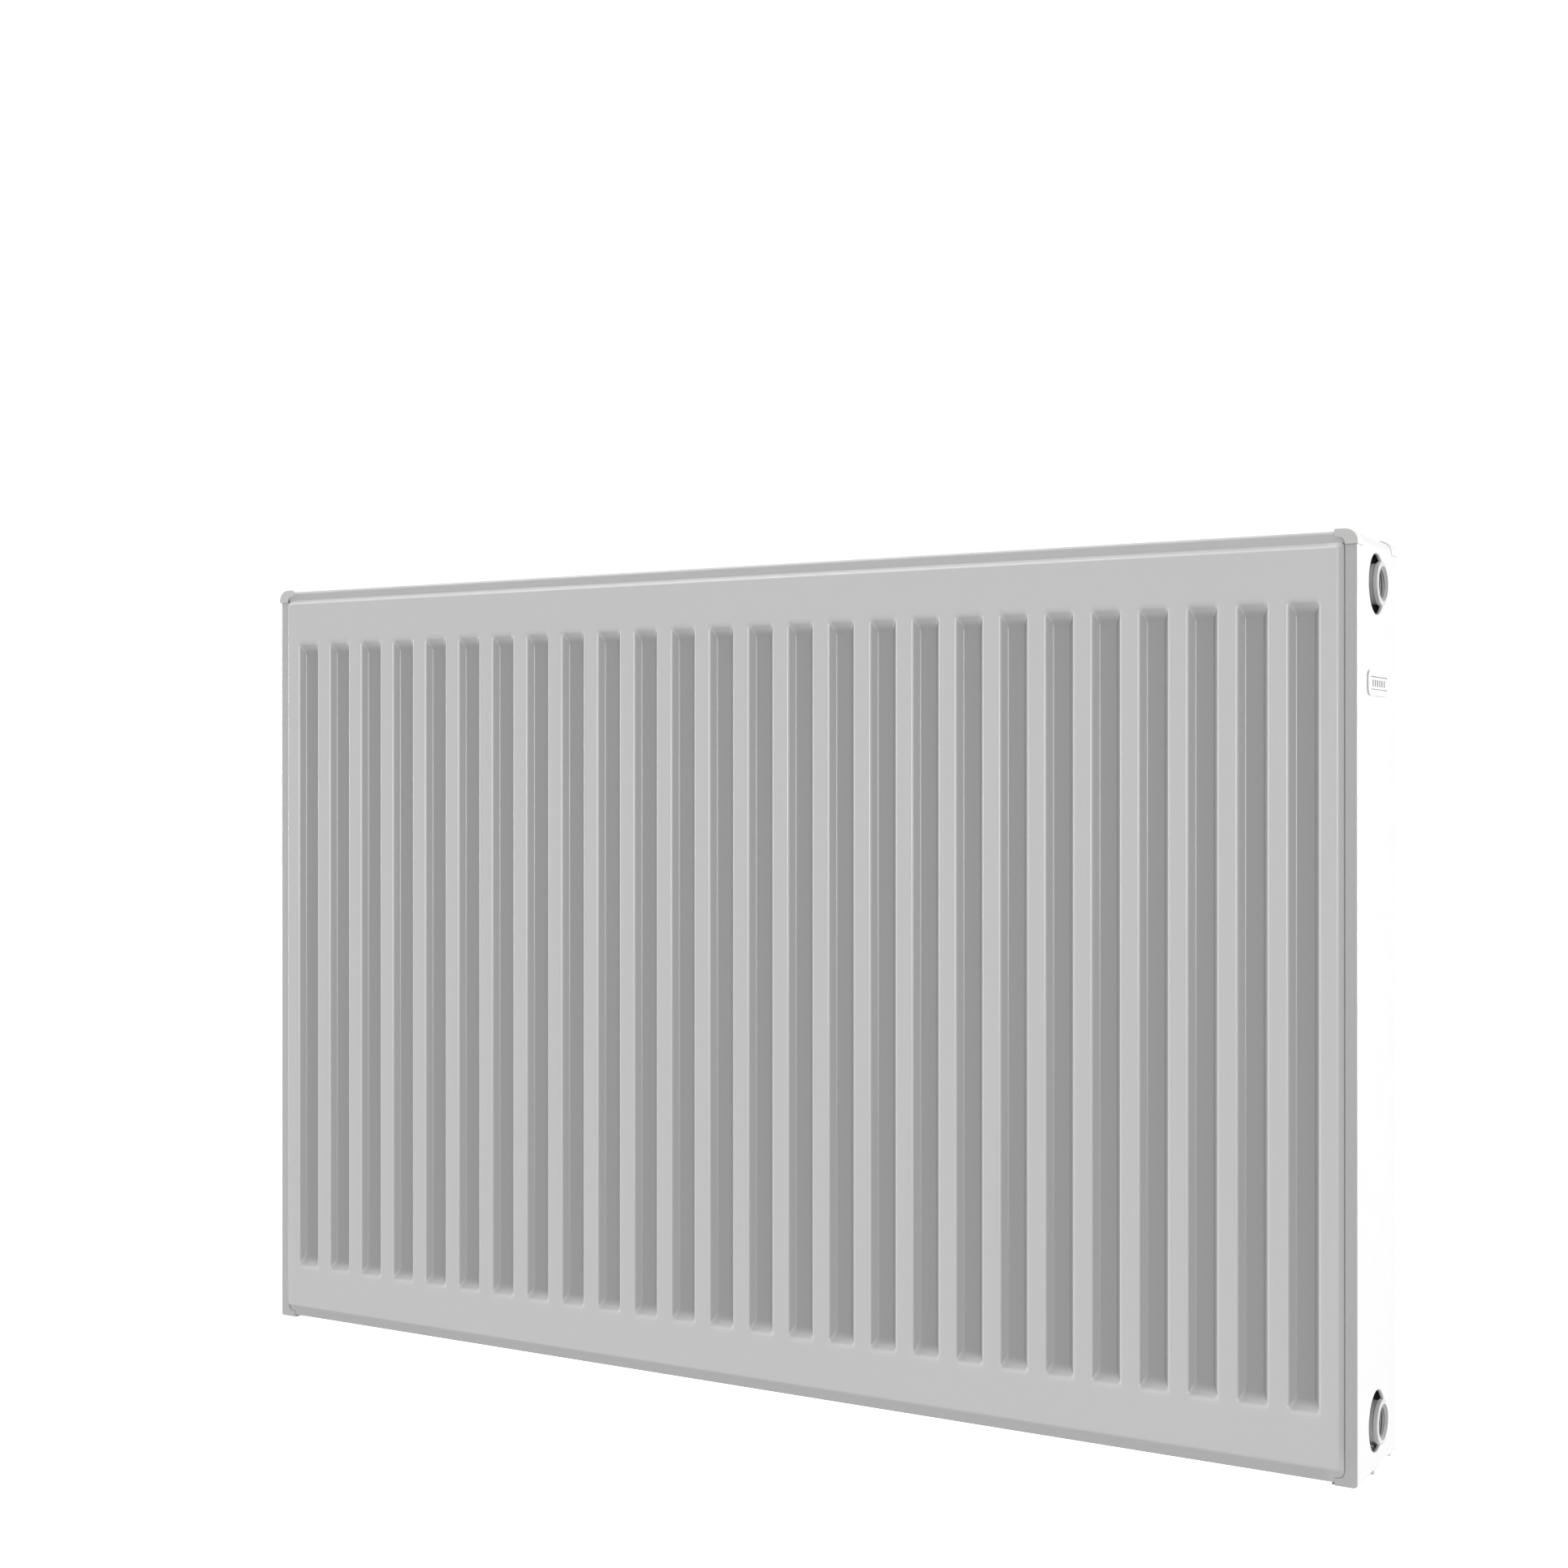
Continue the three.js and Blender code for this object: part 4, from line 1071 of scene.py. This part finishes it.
class Finish(Nodes):
    """A node material on one Principled shader, built up step by step."""

    def __init__(self, name, **fixed):
        self.material = bpy.data.materials.new(name)
        self.material.use_nodes = True
        super().__init__(self.material.node_tree)
        self.shader = self.tree.nodes["Principled BSDF"]
        for socket, value in fixed.items():
            self.shader.inputs[socket.replace("_", " ")].default_value = value
        self.coordinates = self.node("ShaderNodeTexCoord").outputs["Object"]
        self.normal = None

    def noise(self, scale, detail=3.0, stretch=(1, 1, 1)):
        mapping = self.node("ShaderNodeMapping")
        mapping.inputs["Scale"].default_value = stretch
        self.link(self.coordinates, mapping.inputs["Vector"])
        texture = self.node("ShaderNodeTexNoise")
        texture.inputs["Scale"].default_value = scale
        texture.inputs["Detail"].default_value = detail
        self.link(mapping.outputs["Vector"], texture.inputs["Vector"])
        return texture.outputs["Fac"]

    def mix(self, factor, first, second):
        """A blend of two colours. Each is a plain colour or another node's output."""
        mixer = self.node("ShaderNodeMix", data_type="RGBA")
        self.link(factor, mixer.inputs["Factor"])
        for socket, colour in ((mixer.inputs["A"], first), (mixer.inputs["B"], second)):
            if isinstance(colour, tuple):
                socket.default_value = (*colour, 1)
            else:
                self.link(colour, socket)
        return mixer.outputs["Result"]

    def drift(self, base, shade, scale, detail=3.0):
        """The base colour, drifting here and there to a shade of itself."""
        return self.mix(self.ramp(self.noise(scale, detail), 0.0, 1.0), shade_of(base, shade), base)

    def bump(self, height, strength, distance):
        bumper = self.node("ShaderNodeBump")
        bumper.inputs["Strength"].default_value = strength
        bumper.inputs["Distance"].default_value = distance
        self.link(height, bumper.inputs["Height"])
        self.normal = bumper.outputs["Normal"]

    def done(self, colour, roughness):
        self.link(colour, self.shader.inputs["Base Color"])
        self.link(roughness, self.shader.inputs["Roughness"])
        if self.normal is not None:
            self.link(self.normal, self.shader.inputs["Normal"])
        return self.material


HOLLOW_FROM, HOLLOW_TO, HOLLOW_END = (d * MM for d in (0.4, 1.8, 5.3))  # depths where the painted shade comes in on the hollows' sides and ends
HOLLOW_REACH = (428 * MM, 434 * MM)  # the hollows stop here, towards the sides
HOLLOW_BOTTOM = (15 * MM, 25 * MM)  # and towards the bottom
HOLLOW_MOUTH = 0.45  # the painted shade's share just inside a hollow's end
END_FACING = (0.1, 0.3)  # how far a slope has to face up or down to be a hollow's end
RIM_SHARE = 0.4  # what is left of the painted shade past the hollows, on the seam rim
LIP_SHADE_DEPTH = (5.2 * MM, 6.5 * MM)  # how deep the painted shade on the folded lips goes
INSIDE_REACH = 0.08  # how far away, in metres, a wall still shelters an inside
# the tone that the painted shade inside goes down to
INSIDE_TONE = 0.1


def shade_of(colour, amount):
    return tuple(c * amount for c in colour)


def enamel(name, tone, hollow=1.0, lips=1.0, inside=(0.1, 0.5)):
    """Stoved enamel: faint drift and orange peel, smudged gloss, and painted shade inside, in hollows and on
    lips.

    hollow is the tone of the painted shade in a pressing's hollows, by depth behind the piece's front, and
    lips that of the painted shade on the flanges folded over the panel's front. inside gives the shares of
    open air where the painted shade inside is full and gone.
    """
    f = Finish(name)
    base = (tone, tone, tone)
    colour = f.drift(base, 0.995, 5.0, 2.0)
    place = f.parts(f.coordinates)
    # painted shade in the pressing's hollows: flutes and rim greyer by depth behind the front face
    if hollow < 1:
        facing = f.parts(f.node("ShaderNodeNewGeometry").outputs["Normal"])
        sides = f.ramp(place["Y"], 0.0, 1.0, HOLLOW_FROM, HOLLOW_TO, "SMOOTHSTEP")
        ends = f.ramp(place["Y"], 0.0, 1.0, HOLLOW_FROM, HOLLOW_END)
        mouth = f.ramp(place["Y"], 0.0, HOLLOW_MOUTH, HOLLOW_FROM, HOLLOW_TO, "SMOOTHSTEP")
        at_end = f.ramp(f.math("ABSOLUTE", facing["Z"]), 0.0, 1.0, *END_FACING)
        hollow_shade = f.mix(at_end, sides, f.math("MAXIMUM", ends, mouth))
        across = f.ramp(f.math("ABSOLUTE", place["X"]), 1.0, RIM_SHARE, *HOLLOW_REACH)
        up = f.ramp(place["Z"], RIM_SHARE, 1.0, *HOLLOW_BOTTOM)
        hollow_shade = f.math("MULTIPLY", hollow_shade, f.math("MULTIPLY", across, up))
        colour = f.mix(hollow_shade, colour, shade_of(base, hollow))
    # painted shade on the front flanges and lips, darker than the side webs, down to this depth from the
    # front
    if lips < 1:
        colour = f.mix(f.ramp(place["Y"], 1.0, 0.0, *LIP_SHADE_DEPTH), colour, shade_of(base, lips))
    # painted shade inside: darker where walls close in, found by ambient occlusion, slightly uneven
    sheltered = f.node("ShaderNodeAmbientOcclusion", samples=12)
    sheltered.inputs["Distance"].default_value = INSIDE_REACH
    shut_in = f.ramp(sheltered.outputs["AO"], 1.0, 0.0, *inside)
    inside_shade = f.math("MULTIPLY", shut_in, f.ramp(f.noise(60.0, 5.0), 0.94, 1.0))
    colour = f.mix(inside_shade, colour, shade_of(base, INSIDE_TONE))
    f.bump(f.noise(700.0, 2.0), 0.03, 0.0002)
    return f.done(colour, f.ramp(f.noise(40.0, 3.0), 0.24, 0.26))


def moulded_plastic(name, base):
    f = Finish(name)
    f.bump(f.noise(2200.0, 3.0), 0.08, 0.0001)
    return f.done(f.drift(base, 0.97, 30.0), f.ramp(f.noise(120.0, 4.0), 0.34, 0.46))


def plated(name, base, scratch=0.12):
    """Bright metal with fine marks along its length, smudged in places."""
    f = Finish(name, Metallic=1.0)
    f.bump(f.noise(500.0, 3.0, (6, 1, 1)), scratch, 0.0001)
    return f.done(f.drift(base, 0.86, 90.0, 4.0), f.ramp(f.noise(160.0, 5.0), 0.18, 0.38))


def seal_rubber():
    f = Finish("seal_rubber")
    f.bump(f.noise(1500.0, 4.0), 0.2, 0.0002)
    return f.done(f.drift((0.035, 0.035, 0.038), 0.7, 200.0), f.ramp(f.noise(150.0), 0.7, 0.9))


def floor_paint():
    """White paint, lit from within."""
    f = Finish("floor_paint", Emission_Color=(1, 1, 1, 1), Emission_Strength=0.9)
    return f.done(f.drift((0.94, 0.94, 0.94), 0.979, 1.5), f.ramp(f.noise(3.0), 0.85, 0.95))


# ---- Studio ----
FLOOR_DROP, FLOOR_RADIUS = 0.13, 14.0  # in metres, below the radiator's lowest point
CAMERA_PLACE = (822.0, -1359.3, 441.2)
CAMERA_YAW = math.radians(30.017)
LENS, SENSOR = 50, 36
FRONT_TENT, BACK_TENT, BACKDROP = 0.37, 0.3, 1.05  # how bright the walls and the backdrop are
TENT_TURN = 0.3  # how far round the front wall gives way to the back one
BACKDROP_EDGE, BACKDROP_CORE = 44, 29  # degrees round the camera's line of sight
# Soft lamps: direction round from the front towards +X, height, spread, in degrees, and strength.
LAMPS = (
    (-82, 32, 14, 0.26), (-82, -32, 14, 0.18), (-86, 0, 7, 0.06), (-112, 0, 22, 0.22), (34, 0, 7, 0.27),
    (66, 45, 14, 0.08), (122, 0, 20, 1.1), (-90, 62, 30, 0.28),
)


def make_floor():
    """A plain white floor that throws no shadow or reflection back on the radiator."""
    bm = bmesh.new()
    level = cad_low.z - FLOOR_DROP
    rings = []
    for share in (0.02, 0.25, 0.6, 1.0):
        ring = arc(0, 0, FLOOR_RADIUS * share, 0, 360, 48)[:-1]
        rings.append(loop_of(bm, [(x, y, level) for x, y in ring]))
    bridge_rows(bm, rings)
    bm.faces.new(rings[0])
    floor = placed("floor", mesh_data("floor", outward(bm)))
    floor.data.materials.append(floor_paint())
    floor.visible_shadow = False
    floor.visible_diffuse = False
    floor.visible_glossy = False


def make_tent():
    """Dim walls all round, with a white backdrop behind the radiator."""
    world = bpy.data.worlds.new("tent")
    world.use_nodes = True
    tent = Nodes(world.node_tree)
    direction = tent.node("ShaderNodeTexCoord").outputs["Generated"]
    walls = tent.ramp(tent.parts(direction)["Y"], FRONT_TENT, BACK_TENT, -TENT_TURN, TENT_TURN, "SMOOTHSTEP")
    sight = tent.node("ShaderNodeVectorMath", operation="DOT_PRODUCT")
    sight.inputs[1].default_value = (-math.sin(CAMERA_YAW), math.cos(CAMERA_YAW), 0)
    tent.link(direction, sight.inputs[0])
    edge, core = (math.cos(math.radians(angle)) for angle in (BACKDROP_EDGE, BACKDROP_CORE))
    backdrop = tent.ramp(sight.outputs["Value"], 0.0, BACKDROP, edge, core, "SMOOTHSTEP")
    background = tent.tree.nodes["Background"]
    tent.link(tent.math("MAXIMUM", walls, backdrop), background.inputs["Color"])
    bpy.context.scene.world = world


def make_lamps():
    for k, (around, height, spread_angle, strength) in enumerate(LAMPS):
        lamp = bpy.data.lights.new(f"lamp_{k}", "SUN")
        lamp.energy = math.pi * strength
        lamp.angle = math.radians(spread_angle)
        turn, rise = math.radians(around), math.radians(height)
        towards = Vector((math.sin(turn) * math.cos(rise), -math.cos(turn) * math.cos(rise), math.sin(rise)))
        placed(f"lamp_{k}", lamp).rotation_euler = towards.to_track_quat("Z", "Y").to_euler()


def make_camera():
    data = bpy.data.cameras.new("camera")
    data.lens, data.sensor_width = LENS, SENSOR
    camera = placed("camera", data)
    camera.location = ORIGIN + Vector(CAMERA_PLACE) * MM
    camera.rotation_euler = (math.pi / 2, 0, CAMERA_YAW)
    bpy.context.scene.camera = camera


# ---- The radiator ----
bpy.context.scene.view_settings.view_transform = "Standard"
make_camera()
# hollow=0.64: painted shade in the flutes and on the seam rim
pressed_enamel = enamel("white_enamel", 0.80, hollow=0.64)
# a darker copy of the white enamel: painted shade on the convectors inside the panels and on the hanger lugs
shaded_inner_enamel = enamel("inner_white_enamel", 0.62, inside=(0.05, 0.5))
# darker copies of the white enamel: painted shade on the tee's tube and in its threaded bore
shaded_tee_enamel = enamel("shaded_tee_enamel", 0.45, inside=(0.0, 0.25))
shaded_bore_enamel = enamel("shaded_bore_enamel", 0.42, inside=(0.0, 0.4))
# lips=0.86: painted shade on the covers' front flanges and the grille's front lip
trim_enamel = enamel("trim_enamel", 0.80, lips=0.86, inside=(0.0, 0.15))
white_plastic = moulded_plastic("white_plastic", (0.80, 0.80, 0.79))
nickel_plate = plated("nickel_plate", (0.78, 0.76, 0.72))
turned_brass = plated("brass", (0.78, 0.60, 0.30))
spring_steel = plated("spring_steel", (0.60, 0.61, 0.62), 0.2)

make_panels(pressed_enamel)
make_convectors(shaded_inner_enamel)
make_tees(shaded_tee_enamel, shaded_bore_enamel, trim_enamel)
make_lugs(shaded_inner_enamel)
make_covers(trim_enamel)
make_grille(trim_enamel)
make_grille_clips(spring_steel)
make_corner_clips(white_plastic)
make_badge(white_plastic, moulded_plastic("badge_print_and_shade", (0.22, 0.22, 0.23)))
make_plugs(nickel_plate, seal_rubber(), turned_brass, white_plastic)
make_floor()
make_tent()
make_lamps()
